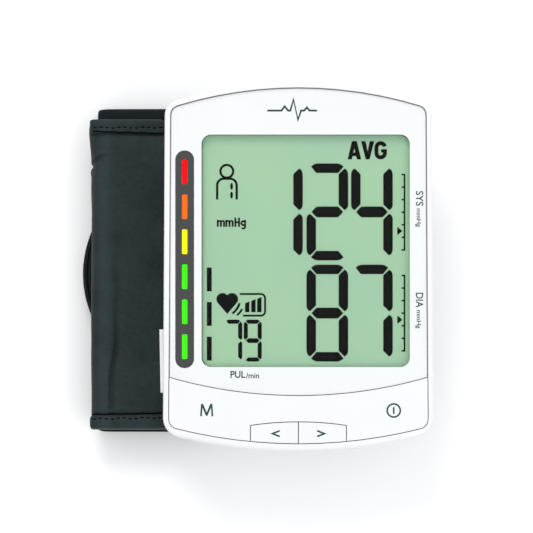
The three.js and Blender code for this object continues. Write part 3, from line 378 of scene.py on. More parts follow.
def woven_label(made, colour):
    """Satin label tape with a fine plain weave."""
    weave = made.wave(2.6, "X") * made.wave(2.2, "Y")
    base = made.mix(0.35 * weave + 0.4 * made.noise(0.2, 2.0), colour, shade(colour, 0.9))
    return made.shader(base, 0.6 - 0.1 * weave, made.bump(weave, 0.25, 0.05), Sheen_Weight=0.1)


def soft_rubber(made, colour):
    """Matt rubber with a pale bloom."""
    bloom = made.noise(0.3, 4.0, 0.6)
    base = made.mix(bloom, shade(colour, 0.85), shade(colour, 1.2))
    return made.shader(base, 0.75 + 0.1 * (bloom - 0.5), made.bump(made.noise(3.0, 2.0), 0.3, 0.04))


def brushed_metal(made, colour, roughness):
    """Metal with long fine brush marks along Y."""
    stretch = {0: made.place, 1: (6.0, 0.3, 6.0)}
    brush = made.noise(1.0, 3.0, 0.6, made.node("ShaderNodeVectorMath", {"operation": "MULTIPLY"}, stretch))
    tarnish = made.noise(0.15, 3.0)
    base = made.mix(0.5 * brush + 0.5 * tarnish, shade(colour, 0.82), shade(colour, 1.05))
    return made.shader(base, roughness + 0.15 * (brush - 0.5), made.bump(brush, 0.15, 0.02), Metallic=1.0)


def clear_silicone(made, colour):
    """Milky silicone."""
    cloud = made.noise(0.25, 3.0)
    base = made.mix(cloud, shade(colour, 0.94), shade(colour, 1.03))
    return made.shader(base, 0.35 + 0.1 * cloud, Subsurface_Weight=0.2, Subsurface_Scale=1.5 * MM)


def circuit_board(made, colour):
    """Solder mask over copper tracks, with bare pads."""
    tracks = made.spread(made.wave(0.32, "X", 1.2), 0.78, 0.84)
    crossing = made.spread(made.wave(0.22, "Y", 1.6), 0.82, 0.88)
    copper = tracks.maths("MAXIMUM", tracks, crossing)
    pads = 1 - made.spread(made.cells(0.12), 0.08, 0.11)
    base = made.mix(pads, made.mix(copper, colour, shade(colour, 1.7)), (0.78, 0.74, 0.6))
    return made.shader(base, 0.4 - 0.12 * pads, made.bump(copper + pads, 0.3, 0.04), Metallic=0.85 * pads)


def battery_sleeve(made, colour):
    """Shrink sleeve in one colour with a pale band at one end, and plain metal at both tips."""
    low, high = (corner.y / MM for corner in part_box("battery_1"))
    along = made.coordinate("Y")
    body = made.band(along, low + 1.2, low + 1.6, high - 1.6, high - 1.2)
    sleeve = made.mix(made.spread(along, high - 14.0, high - 13.6), colour, (0.72, 0.74, 0.76))
    scuffs = made.noise(0.6, 4.0, 0.65)
    base = made.mix(body, (0.62, 0.63, 0.64), sleeve)
    return made.shader(base, 0.3 + 0.15 * scuffs, Metallic=1 - 0.7 * body, Coat_Weight=0.3)


def studio_floor(made):
    """Seamless pale paper with a faint tooth."""
    tooth = made.noise(0.5, 4.0)
    base = made.mix(made.noise(0.004, 1.0), (0.95, 0.95, 0.95), (0.965, 0.965, 0.965))
    return made.shader(base, 0.85 + 0.05 * tooth, made.bump(tooth, 0.03, 0.05))


def settings():
    scene = bpy.context.scene
    return scene.monitor_housing, scene.monitor_display, scene.monitor_cuff, scene.monitor_stage


def slot_material(slot):
    """The material of one slot, made once."""
    name = f"{slot}_finish"
    if name not in bpy.data.materials:
        housing, display, cuff, _ = settings()
        makers = {
            "white_shell": (moulded_plastic, housing.shell_colour, 0.34, 0.12, 0.15),
            "white_face": (moulded_plastic, housing.face_colour, 0.4),
            "white_key": (moulded_plastic, housing.key_colour, 0.36, 0.12, 0.1),
            "white_back": (moulded_plastic, housing.back_colour, 0.5, 0.35),
            "clear_lens": (clear_cover, (0.985, 0.995, 0.985)),
            "lcd_glass": (display_glass, display.glass_colour),
            "lcd_ink": (dark_ink, (0.004, 0.004, 0.004)),
            "dark_strip": (moulded_plastic, (0.034, 0.034, 0.034), 0.55),
            "red_window": (coloured_window, (1.0, 0.0, 0.0), 0.35),
            "orange_window": (coloured_window, (1.0, 0.12, 0.0), 0.35),
            "yellow_window": (coloured_window, (1.0, 1.0, 0.0), 0.3),
            "green_window": (coloured_window, (0.04, 1.0, 0.0), 0.3),
            "printed_ink": (dark_ink, housing.ink_colour),
            "black_plastic": (moulded_plastic, (0.018, 0.019, 0.02), 0.45, 0.3),
            "grey_plastic": (moulded_plastic, (0.16, 0.17, 0.175), 0.42, 0.3),
            "circuit_board": (circuit_board, (0.012, 0.11, 0.045)),
            "steel": (brushed_metal, (0.6, 0.6, 0.61), 0.3),
            "brass": (brushed_metal, (0.72, 0.5, 0.2), 0.25),
            "silicone": (clear_silicone, (0.78, 0.8, 0.79)),
            "rubber": (soft_rubber, (0.03, 0.031, 0.033)),
            "battery_wrap": (battery_sleeve, (0.03, 0.09, 0.27)),
            "cuff_fabric": (ribbed_nylon, cuff.fabric_colour),
            "cuff_back_fabric": (loop_fabric, cuff.back_colour),
            "stitching": (sewing_thread, (0.0016, 0.0022, 0.0024)),
            "sewn_label": (woven_label, (0.95, 0.955, 0.95)),
        }
        finished(name, *makers[slot])
    return bpy.data.materials[name]


# ---- Modelling helpers ----

def select_only(*pieces):
    if bpy.context.object is not None and bpy.context.object.mode != "OBJECT":
        bpy.ops.object.mode_set(mode="OBJECT")
    bpy.ops.object.select_all(action="DESELECT")
    for piece in pieces:
        piece.select_set(True)
    if pieces:
        bpy.context.view_layer.objects.active = pieces[0]


def edit_all(piece):
    """Edit mode with everything selected."""
    select_only(piece)
    bpy.ops.object.mode_set(mode="EDIT")
    bpy.ops.mesh.select_mode(type="FACE")
    bpy.ops.mesh.select_all(action="SELECT")


def edit_where(piece, kind, wanted):
    """Edit mode with only those faces or edges selected for which wanted(centre, item) is true."""
    select_only(piece)
    bpy.ops.object.mode_set(mode="EDIT")
    bpy.ops.mesh.select_mode(type=kind)
    bpy.ops.mesh.select_all(action="DESELECT")
    shape = bmesh.from_edit_mesh(piece.data)
    if kind == "FACE":
        for face in shape.faces:
            face.select_set(bool(wanted(face.calc_center_median(), face)))
    else:
        for edge in shape.edges:
            middle = (edge.verts[0].co + edge.verts[1].co) / 2
            edge.select_set(bool(wanted(middle, edge)))
    bmesh.update_edit_mesh(piece.data)


def leave_edit():
    bpy.ops.object.mode_set(mode="OBJECT")


def outward_faces(piece):
    edit_all(piece)
    bpy.ops.mesh.normals_make_consistent(inside=False)
    leave_edit()


def fitted(piece, low, high):
    """Stretches a mesh to fill the box between two corners."""
    points = [vertex.co for vertex in piece.data.vertices]
    for axis in range(3):
        least, most = min(point[axis] for point in points), max(point[axis] for point in points)
        for point in points:
            point[axis] = low[axis] + (point[axis] - least) / (most - least) * (high[axis] - low[axis])
    piece.data.update()


def apply_modifier(piece, kind, **values):
    select_only(piece)
    modifier = piece.modifiers.new(kind.lower(), kind)
    for key, value in values.items():
        setattr(modifier, key, value)
    bpy.ops.object.modifier_apply(modifier=modifier.name)


def settle(piece, place=None):
    """Puts a piece's place, and the given one, into its mesh and leaves the object at the origin."""
    bpy.context.view_layer.update()
    piece.data.transform((place or Matrix.Identity(4)) @ piece.matrix_world)
    piece.matrix_world = Matrix.Identity(4)
    piece.data.update()
    return piece


def smooth(piece, angle=30):
    select_only(piece)
    bpy.ops.object.shade_smooth_by_angle(angle=math.radians(angle))


def give(piece, name, slot, body):
    """Names a finished piece, gives it its material and lets it ride on a body."""
    piece.name = name
    piece.data.name = name
    piece.data.materials.clear()
    piece.data.materials.append(slot_material(slot))
    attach(piece, body)
    return piece


def join(pieces):
    select_only(*pieces)
    if len(pieces) > 1:
        bpy.ops.object.join()
    return bpy.context.object


def copy_of(piece, move):
    """A copy with its own mesh, moved."""
    twin = bpy.data.objects.new(piece.name, piece.data.copy())
    bpy.context.scene.collection.objects.link(twin)
    twin.data.transform(Matrix.Translation(move))
    return twin


def plate(outline, bottom, top, edge=0.0):
    """A flat plate with the given outline, in metres, its upper edge rounded by edge."""
    select_only()
    bpy.ops.mesh.primitive_circle_add(vertices=len(outline), radius=MM, fill_type="NGON")
    piece = bpy.context.object
    for vertex, (x, y) in zip(piece.data.vertices, outline):
        vertex.co = (x, y, bottom)
    edit_all(piece)
    bpy.ops.mesh.extrude_region_move(TRANSFORM_OT_translate={"value": (0, 0, top - bottom)})
    leave_edit()
    outward_faces(piece)
    if edge:
        nearly = (top - bottom) * 0.01
        edit_where(piece, "EDGE", lambda middle, item: all(v.co.z > top - nearly for v in item.verts))
        bpy.ops.mesh.bevel(offset=edge, segments=2, affect="EDGES")
        leave_edit()
    return piece


def arc(centre, radius, start, end, steps=16):
    """Points on an arc, with angles in degrees."""
    angles = [math.radians(start + (end - start) * step / steps) for step in range(steps + 1)]
    return [(centre[0] + radius * math.cos(angle), centre[1] + radius * math.sin(angle)) for angle in angles]


def ribbon(points, width, closed=False):
    """The outline of a line of even width. A closed one comes back as its two halves."""
    if closed:
        half = len(points) // 2
        return [ribbon(points[: half + 1], width), ribbon(points[half:] + points[:1], width)]
    path = [Vector(point) for point in points]
    sides = ([], [])
    for index, point in enumerate(path):
        before = path[max(index - 1, 0)]
        after = path[min(index + 1, len(path) - 1)]
        first = (point - before).normalized() if index else (after - point).normalized()
        second = (after - point).normalized() if index < len(path) - 1 else first
        along = (first + second).normalized()
        normal = Vector((-along.y, along.x))
        reach = width / 2 / max(normal.dot(Vector((-first.y, first.x))), 0.4)
        sides[0].append(tuple(point + normal * reach))
        sides[1].append(tuple(point - normal * reach))
    return sides[1] + sides[0][::-1]


def in_metres(points):
    return [(x * MM, y * MM) for x, y in points]


def bar_outline(left, low, right, high):
    return [(left, low), (right, low), (right, high), (left, high)]


def print_shapes(outlines, level, thickness):
    """Thin plates for a list of outlines in millimetres on the face, joined."""
    return join([plate(in_metres(points), level - PRINT_SINK, level + thickness) for points in outlines])


def on_face(piece, name, slot, body="monitor"):
    """Lays a piece that was made flat onto the tilted face, and finishes it."""
    return give(settle(piece, FACE), name, slot, body)


def lettering(body, box, turn, weight, level, thickness):
    """Text fitted into a box (left, low, right, high) on the face, in millimetres. turn is in degrees."""
    left, low, right, high = (value * MM for value in box)
    select_only()
    bpy.ops.object.text_add()
    words = bpy.context.object
    words.data.body = body
    words.data.size = 1.0
    words.data.offset = weight
    words.data.resolution_u = 6
    words.data.extrude = 0.5
    bpy.ops.object.convert(target="MESH")
    words = bpy.context.object
    words.data.transform(Matrix.Rotation(math.radians(turn), 4, "Z"))
    fitted(words, (left, low, level - PRINT_SINK), (right, high, level + thickness))
    return words


def refine(node, name, slot, body):
    """A merged copy of a CAD node with its flats cleaned and its moulded edges rounded."""
    housing = settings()[0]
    piece = bpy.data.objects.new(name, NODES[node].data.copy())
    bpy.context.scene.collection.objects.link(piece)
    edit_all(piece)
    bpy.ops.mesh.remove_doubles(threshold=0.002 * MM)
    bpy.ops.mesh.dissolve_limited(angle_limit=math.radians(0.6))
    leave_edit()
    for attribute in [a for a in piece.data.attributes if a.name.startswith("custom_normal")]:
        piece.data.attributes.remove(attribute)
    rounding = {"limit_method": "ANGLE", "angle_limit": housing.edge_angle, "miter_outer": "MITER_ARC"}
    apply_modifier(piece, "BEVEL", width=housing.edge_width, segments=2, use_clamp_overlap=True, **rounding)
    smooth(piece, 35)
    apply_modifier(piece, "WEIGHTED_NORMAL", keep_sharp=True, weight=80)
    give(piece, name, slot, body)
    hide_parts(node)
    return piece


# ---- Display ----

# A digit's cell is as wide as DIGIT_ASPECT of its height. Lengths here are shares of that height.
DIGIT_ASPECT = 0.43
BAR = 0.098
TIP_INSET = 0.031
SEGMENT_GAP = 0.022
HUNDREDS_SHIFT = 0.35
SEGMENTS_OF = {
    "0": "abcdef", "1": "bc", "2": "abged", "3": "abgcd", "4": "fgbc",
    "5": "afgcd", "6": "afgedc", "7": "abc", "8": "abcdefg", "9": "abfgcd",
}


def end_segment():
    """The outline of the bar along a digit's foot: a long inner edge and a rounded outer one."""
    left = BAR * 0.47
    right = DIGIT_ASPECT - left
    reach = (BAR - TIP_INSET) * 0.82
    return [
        (left, TIP_INSET), (left + 0.035, 0.008), (left + 0.06, 0.0), (right - 0.06, 0.0),
        (right - 0.035, 0.008), (right, TIP_INSET), (right - reach, BAR), (left + reach, BAR),
    ]


def middle_segment():
    left = BAR * 0.52
    right = DIGIT_ASPECT - left
    half = BAR * 0.57
    reach = half * 0.95
    return [
        (left, 0.5), (left + reach, 0.5 - half), (right - reach, 0.5 - half),
        (right, 0.5), (right - reach, 0.5 + half), (left + reach, 0.5 + half),
    ]


def side_segment():
    """The outline of the lower right bar: its tips lean to the outside, and its outer corners are rounded."""
    outer, inner = DIGIT_ASPECT, DIGIT_ASPECT - BAR
    tip = outer - TIP_INSET - 0.006
    low, high, rise = BAR * 0.52, 0.5 - SEGMENT_GAP * 0.8, 0.06
    return [
        (inner, low + rise), (tip, low), (outer - 0.012, low + 0.02), (outer, low + 0.055),
        (outer, high - 0.045), (outer - 0.012, high - 0.018), (tip, high), (inner, high - rise),
    ]


def flipped(points, across=False, over=False):
    """Mirrors an outline in a digit's cell, left to right or top to bottom."""
    turned = [(DIGIT_ASPECT - x if across else x, 1 - y if over else y) for x, y in points]
    return turned[::-1] if across != over else turned


def segment_outline(letter):
    return {
        "a": lambda: flipped(end_segment(), over=True),
        "b": lambda: flipped(side_segment(), over=True),
        "c": side_segment,
        "d": end_segment,
        "e": lambda: flipped(side_segment(), across=True),
        "f": lambda: flipped(side_segment(), across=True, over=True),
        "g": middle_segment,
    }[letter]()


def digit_outlines(figure, right, foot, height):
    """The lit segments of one figure whose cell ends at right, in millimetres."""
    left = right - DIGIT_ASPECT * height
    return [
        [(left + x * height, foot + y * height) for x, y in segment_outline(letter)]
        for letter in SEGMENTS_OF[figure]
    ]


def number_outlines(number, right, foot, height, pitch):
    outlines = []
    for index, figure in enumerate(reversed(number)):
        shift = HUNDREDS_SHIFT if index == 2 else 0
        outlines += digit_outlines(figure, right - index * pitch - shift, foot, height)
    return outlines


class MONITOR_OT_display_digits(Operator):
    """Adds the two large readings and the pulse as lit segments under the display window"""
    bl_idname = "monitor.display_digits"
    bl_label = "Display digits"

    def execute(self, context):
        display = settings()[1]
        tall, small = display.digit_height / MM, display.small_digit_height / MM
        # Name, figures, right edge, foot, height, and the pitch from one figure to the next.
        rows = (
            ("digits_upper", display.systolic, 42.55, 2.95, tall, 20.1),
            ("digits_lower", display.diastolic, 42.55, -42.65, tall, 20.1),
            ("digits_pulse", display.pulse, -16.5, -42.65, small, 8.8),
        )
        for name, number, right, foot, height, pitch in rows:
            outlines = number_outlines(number, right, foot, height, pitch)
            on_face(print_shapes(outlines, face_level("lcd_panel"), display.ink_thickness), name, "lcd_ink")
        return {"FINISHED"}


class MONITOR_OT_display_scales(Operator):
    """Adds the two side scales with their pointers, and the three bars at the left"""
    bl_idname = "monitor.display_scales"
    bl_label = "Display scales"

    def execute(self, context):
        display = settings()[1]
        line, tick, thick, length, spacing, count = 48.2, 46.5, 0.72, 34.7, 5.66, 7
        back, tip, half = 44.6, 46.9, 1.95
        marks = []
        for name, top, pointer in (("scale_upper", 42.0, 16.2), ("scale_lower", -3.5, -23.8)):
            outlines = [bar_outline(line - thick, top - length, line, top)]
            for index in range(count):
                y = top - index * spacing
                outlines.append(bar_outline(tick, y - thick, line - thick / 2, y))
            outlines.append([(back, pointer - half), (tip, pointer), (back, pointer + half)])
            marks.append((name, outlines))
        tops, height = (-0.25, -15.8, -31.45), 10.75
        marks.append(("level_bars", [bar_outline(-41.25, y - height, -39.05, y) for y in tops]))
        for name, outlines in marks:
            on_face(print_shapes(outlines, face_level("lcd_panel"), display.ink_thickness), name, "lcd_ink")
        return {"FINISHED"}


def heart_outline(middle, top, lobe, offset, tip):
    """A heart from two round lobes, offset from its middle line, and straight sides down to its tip."""
    centre = top - lobe
    drop = centre - tip
    reach = math.hypot(offset, drop)
    touch = 180 + math.degrees(math.atan2(drop, -offset)) + math.degrees(math.acos(lobe / reach))
    cleft = math.degrees(math.acos(offset / lobe))
    start = 360 - math.degrees(math.atan2(drop, offset)) - math.degrees(math.acos(lobe / reach))
    left = arc((middle - offset, centre), lobe, start, cleft, 20)
    right = arc((middle + offset, centre), lobe, 180 - cleft, 180 - start, 20)
    return left + right[1:] + [(middle, tip)]


def bow(start, end, bulge, steps=6):
    """Points on a shallow curve between two points, bulging to the right of its way."""
    first, last = Vector(start), Vector(end)
    along = last - first
    side = Vector((along.y, -along.x)).normalized()
    shares = [step / steps for step in range(steps + 1)]
    return [tuple(first + along * t + side * bulge * 4 * t * (1 - t)) for t in shares]


def person_outlines(stroke):
    head = arc((-32.25, 43.1), 2.88, 0, 360, 36)[:-1]
    left, right, foot, shoulder, bend = -36.6, -27.8, 30.4, 39.8, 3.0
    body = (
        [(left, foot)]
        + arc((left + bend, shoulder - bend), bend, 180, 90, 8)
        + arc((right - bend, shoulder - bend), bend, 90, 0, 8)
        + [(right, foot)]
    )
    outlines = ribbon(head, stroke, closed=True) + [ribbon(body, stroke)]
    for middle in (36.35, 32.4):
        outlines.append([(-30.1 + 0.62 * x, middle + 1.6 * y) for x, y in arc((0, 0), 1, 0, 360, 12)[:-1]])
    return outlines


def signal_outlines(stroke):
    """An open box with three rising bars."""
    bend, right, top, foot = 1.9, -15.0, -12.2, -21.95
    path = (
        [(-26.5, top)]
        + arc((right - bend, top - bend), bend, 90, 0, 6)
        + arc((right - bend, foot + bend), bend, 0, -90, 6)
        + [(-25.0, foot)]
    )
    outlines = [ribbon(path, stroke)]
    for left, low_top, high_top in ((-24.05, -16.35, -15.55), (-21.25, -15.35, -14.5), (-18.6, -14.4, -13.5)):
        outlines.append([(left, -20.4), (left + 2.0, -20.4), (left + 2.0, high_top), (left, low_top)])
    return outlines


def word_average():
    """AVG in heavy narrow capitals."""
    low, high, bend = 48.5, 56.7, 1.9
    upright = [
        [(22.2, low), (24.1, low), (26.0, high), (24.15, high)],
        [(26.4, low), (28.35, low), (26.35, high), (24.5, high)],
        [(23.7, 50.0), (26.9, 50.0), (26.6, 51.6), (23.9, 51.6)],
        [(30.35, low), (31.95, low), (30.3, high), (28.25, high)],
        [(30.5, low), (32.1, low), (34.2, high), (32.15, high)],
        bar_outline(37.3, 51.6, 39.9, 53.1),
    ]
    path = arc((37.1, high - 0.9 - bend), bend, 12, 180, 10)
    path += arc((37.1, low + 0.9 + bend), bend, 180, 352, 10)
    return upright + [ribbon(path + [(39.0, 52.6)], 1.8)]


def word_unit():
    """mmHg in heavy narrow letters."""
    foot, x_height, cap, half = 18.1, 21.2, 22.2, 0.42
    outlines = []
    for stems in ((-36.33, -34.9, -33.5), (-32.45, -31.05, -29.65)):
        for index, x in enumerate(stems):
            outlines.append(bar_outline(x - half, foot, x + half, x_height - (0.45 if index else 0.0)))
        for left, right in zip(stems, stems[1:]):
            outlines.append(ribbon([(left, 20.4)] + arc((right - 0.55, 20.25), 0.55, 90, 0, 4), 0.75))
    outlines += [bar_outline(x - half, foot, x + half, cap) for x in (-28.4, -26.75)]
    outlines.append(bar_outline(-28.4, 19.75, -26.75, 20.55))
    outlines.append(ribbon(arc((-24.85, 19.75), 0.85, 60, 300, 10), 2 * half))
    outlines.append(bar_outline(-24.45, 18.0, -23.6, x_height))
    outlines.append(ribbon([(-24.02, 18.2)] + arc((-24.7, 18.05), 0.68, 0, -90, 4) + [(-25.6, 17.4)], 0.8))
    return outlines


def window_shadow_outline():
    """Painted shadow that the window's edge casts on the display: a dark line along its left and upper edges."""
    left, right, low, high, bend = -43.55, 50.1, -45.0, 59.7, 4.3
    path = (
        arc((left + bend, low + bend), bend, 230, 180, 4)
        + arc((left + bend, high - bend), bend, 180, 90, 6)
        + arc((right - bend, high - bend), bend, 90, 40, 4)
    )
    return [ribbon(path, 0.55)]


class MONITOR_OT_display_icons(Operator):
    """Adds the person, heart and signal icons, the display's own words and a painted shadow under the window's
    edge
    """
    bl_idname = "monitor.display_icons"
    bl_label = "Display icons"

    def execute(self, context):
        heart = [
            heart_outline(-32.05, -11.75, 2.75, 2.15, -21.2),
            ribbon(bow((-29.75, -21.0), (-26.5, -16.3), 0.5), 1.0),
            ribbon(bow((-27.7, -21.75), (-25.4, -18.9), 0.25), 0.9),
        ]
        pieces = (
            ("icon_person", person_outlines(1.04), "lcd_ink"),
            ("icon_heart", heart, "lcd_ink"),
            ("icon_signal", signal_outlines(0.86), "lcd_ink"),
            ("display_word", word_average(), "lcd_ink"),
            ("display_unit", word_unit(), "lcd_ink"),
            # Painted shadow along the window's left and upper edges, in the print ink.
            ("lcd_edge_shadow", window_shadow_outline(), "printed_ink"),
        )
        thickness = settings()[1].ink_thickness
        for name, outlines, slot in pieces:
            on_face(print_shapes(outlines, face_level("lcd_panel"), thickness), name, slot)
        return {"FINISHED"}


# ---- Printed legends ----

class MONITOR_OT_printed_legends(Operator):
    """Prints the generic legends on the face panel, the key panel and the two keys"""
    bl_idname = "monitor.printed_legends"
    bl_label = "Printed legends"

    def execute(self, context):
        thick = settings()[1].print_thickness
        panel, key_top = face_level("face_panel"), face_level("key_panel")
        # Name, words, box on the face, turn in degrees, and how much the strokes are thickened.
        words = (
            ("legend_pulse", "PUL", (-30.6, -50.0, -23.9, -46.8), 0, 0.02),
            ("legend_per_minute", "/min", (-23.6, -50.2, -17.7, -47.6), 0, 0.015),
            ("legend_upper", "SYS", (52.9, 27.5, 56.2, 34.2), -90, 0.012),
            ("legend_upper_unit", "mmHg", (52.6, 18.0, 55.2, 26.3), -90, 0.015),
            ("legend_lower", "DIA", (52.9, -18.3, 56.2, -11.6), -90, 0.012),
            ("legend_lower_unit", "mmHg", (52.6, -27.7, 55.2, -19.4), -90, 0.015),
        )
        for name, body, box, turn, weight in words:
            on_face(lettering(body, box, turn, weight, panel, thick), name, "printed_ink")
        memory = [
            (-44.25, -67.2), (-43.45, -67.2), (-43.2, -63.3), (-41.6, -67.0), (-40.95, -67.0),
            (-39.35, -63.3), (-39.1, -67.2), (-38.3, -67.2), (-38.75, -61.6), (-39.65, -61.6),
            (-41.27, -65.5), (-42.9, -61.6), (-43.8, -61.6),
        ]
        power = ribbon(arc((42.9, -64.6), 2.95, 0, 360, 40)[:-1], 0.75, closed=True)
        power.append(bar_outline(42.53, -66.15, 43.27, -63.05))
        beat = [
            (-14.0, 70.4), (-7.6, 70.4), (-6.2, 72.3), (-4.6, 70.4), (-3.6, 70.4), (-2.2, 75.4),
            (-0.2, 66.2), (1.2, 70.4), (2.6, 70.4), (3.8, 71.8), (5.0, 70.4), (8.4, 70.4),
        ]
        shapes = [
            ("legend_memory", [memory], key_top, "key_rocker"),
            ("legend_power", power, key_top, "key_rocker"),
        ]
        for name, body, side in (("legend_left", "left_key", -1), ("legend_right", "right_key", 1)):
            arrow = [(side * 8.4, -73.7), (side * 11.7, -75.0), (side * 8.4, -76.3)]
            shapes.append((name, [ribbon(arrow, 0.78)], face_level(body), body))
        shapes.append(("mark_pulse_line", [ribbon(beat, 0.85)], panel, "monitor"))
        for name, outlines, level, body in shapes:
            on_face(print_shapes(outlines, level, thick), name, "printed_ink", body)
        return {"FINISHED"}


# ---- Housing ----

class MONITOR_OT_housing(Operator):
    """Gives the front cover, face panel, rear housing and battery door their moulded edges"""
    bl_idname = "monitor.housing"
    bl_label = "Housing"

    def execute(self, context):
        refine("front_cover", "cover_shell", "white_shell", "monitor")
        refine("face_panel", "face_plate", "white_face", "monitor")
        refine("rear_housing", "back_shell", "white_back", "monitor")
        refine("battery_door", "door_plate", "white_back", "battery_door")
        return {"FINISHED"}


class MONITOR_OT_keys(Operator):
    """Gives the rocking key panel and the two small keys their soft edges"""
    bl_idname = "monitor.keys"
    bl_label = "Keys"

    def execute(self, context):
        refine("key_panel", "rocker_cap", "white_key", "key_rocker")
        refine("left_key", "left_cap", "white_key", "left_key")
        refine("right_key", "right_cap", "white_key", "right_key")
        return {"FINISHED"}


class MONITOR_OT_level_strip(Operator):
    """Gives the dark strip and its six coloured windows their edges"""
    bl_idname = "monitor.level_strip"
    bl_label = "Level strip"

    def execute(self, context):
        refine("indicator_strip", "strip_bezel", "dark_strip", "monitor")
        slots = {part["node"]: part["material_slot"] for part in frame["record"]["subparts"]}
        for node in sorted(name for name in NODES if name.startswith("level_window_")):
            refine(node, node.replace("window", "lamp"), slots[node], "monitor")
        return {"FINISHED"}


class MONITOR_OT_sockets(Operator):
    """Gives the air socket, the power jack and the cuff's air port their edges"""
    bl_idname = "monitor.sockets"
    bl_label = "Sockets"

    def execute(self, context):
        refine("air_socket", "hose_socket", "grey_plastic", "monitor")
        refine("power_jack", "power_inlet", "black_plastic", "monitor")
        refine("cuff_air_port", "cuff_port", "grey_plastic", "cuff")
        return {"FINISHED"}


class MONITOR_OT_feet(Operator):
    """Models the rubber feet: a round pad with a ring groove"""
    bl_idname = "monitor.feet"
    bl_label = "Feet"

    def execute(self, context):
        for node in sorted(name for name in NODES if name.startswith("foot_")):
            low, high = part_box(node)
            middle, radius = (low + high) / 2, (high.x - low.x) / 2
            groove = (radius * 0.44, radius * 0.605)
            select_only()
            bpy.ops.mesh.primitive_cylinder_add(
                vertices=48, radius=radius, depth=high.z - low.z, location=middle
            )
            foot = settle(bpy.context.object)
            edit_where(foot, "FACE", lambda at, face: face.normal.z < -0.9)
            bpy.ops.mesh.inset(thickness=radius * 0.4)
            bpy.ops.mesh.inset(thickness=radius * 0.14)
            leave_edit()

            def in_groove(at, face):
                return face.normal.z < -0.9 and groove[0] < (at.xy - middle.xy).length < groove[1]

            def low_and_sharp(at, edge):
                return edge.calc_face_angle(0) > math.radians(50) and at.z < middle.z

            edit_where(foot, "FACE", in_groove)
            bpy.ops.mesh.extrude_region_move(TRANSFORM_OT_translate={"value": (0, 0, 0.4 * MM)})
            leave_edit()
            edit_where(foot, "EDGE", low_and_sharp)
            bpy.ops.mesh.bevel(offset=0.25 * MM, segments=3, affect="EDGES")
            leave_edit()
            smooth(foot, 40)
            give(foot, node.replace("foot", "foot_pad"), "rubber", "monitor")
            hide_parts(node)
        return {"FINISHED"}


class MONITOR_OT_inner_parts(Operator):
    """Gives every other part of the frame the material of its slot"""
    bl_idname = "monitor.inner_parts"
    bl_label = "Inner parts"

    def execute(self, context):
        for part in frame["record"]["subparts"]:
            node = NODES[part["node"]]
            node.data.materials.clear()
            node.data.materials.append(slot_material(part["material_slot"]))
        return {"FINISHED"}


# ---- Cuff ----

def soft_block(middle, size, edge, voxel):
    """A block with rounded edges, cut into an even net that can be shaped."""
    select_only()
    bpy.ops.mesh.primitive_cube_add(size=1, location=middle)
    block = bpy.context.object
    block.scale = size
    settle(block)
    edit_where(block, "EDGE", lambda at, item: True)
    bpy.ops.mesh.bevel(offset=edge, segments=3, affect="EDGES")
    leave_edit()
    apply_modifier(block, "REMESH", mode="VOXEL", voxel_size=voxel, use_smooth_shade=True)
    return block


def fill(pad):
    """Inflates a padded layer with cloth, and keeps every point within the swell allowed."""
    cuff = settings()[2]
    scene = bpy.context.scene
    rest = [vertex.co.copy() for vertex in pad.data.vertices]
    select_only(pad)
    cloth = pad.modifiers.new("cloth", "CLOTH")
    cloth.settings.quality = 5
    cloth.settings.mass = 0.15
    cloth.settings.tension_stiffness = 25
    cloth.settings.compression_stiffness = 25
    cloth.settings.bending_stiffness = 1.2
    cloth.settings.use_pressure = True
    cloth.settings.uniform_pressure_force = cuff.pressure
    cloth.settings.effector_weights.gravity = 0
    cloth.collision_settings.use_collision = False
    cloth.point_cache.frame_start = 1
    cloth.point_cache.frame_end = cuff.settle_frames
    for step in range(1, cuff.settle_frames + 1):
        scene.frame_set(step)
    bpy.ops.object.modifier_apply(modifier=cloth.name)
    scene.frame_set(1)
    for vertex, start in zip(pad.data.vertices, rest):
        move = vertex.co - start
        if move.length > cuff.swell:
            vertex.co = start + move.normalized() * cuff.swell
    pad.data.update()


def bell(value, middle, width):
    """1 at the middle, falling smoothly to about 0 a width away."""
    return math.exp(-(((value - middle) / width) ** 2) * 2)


def ramp(value, start, end):
    """0 before start, 1 after end, smooth between."""
    share = min(max((value - start) / (end - start), 0.0), 1.0)
    return share * share * (3 - 2 * share)


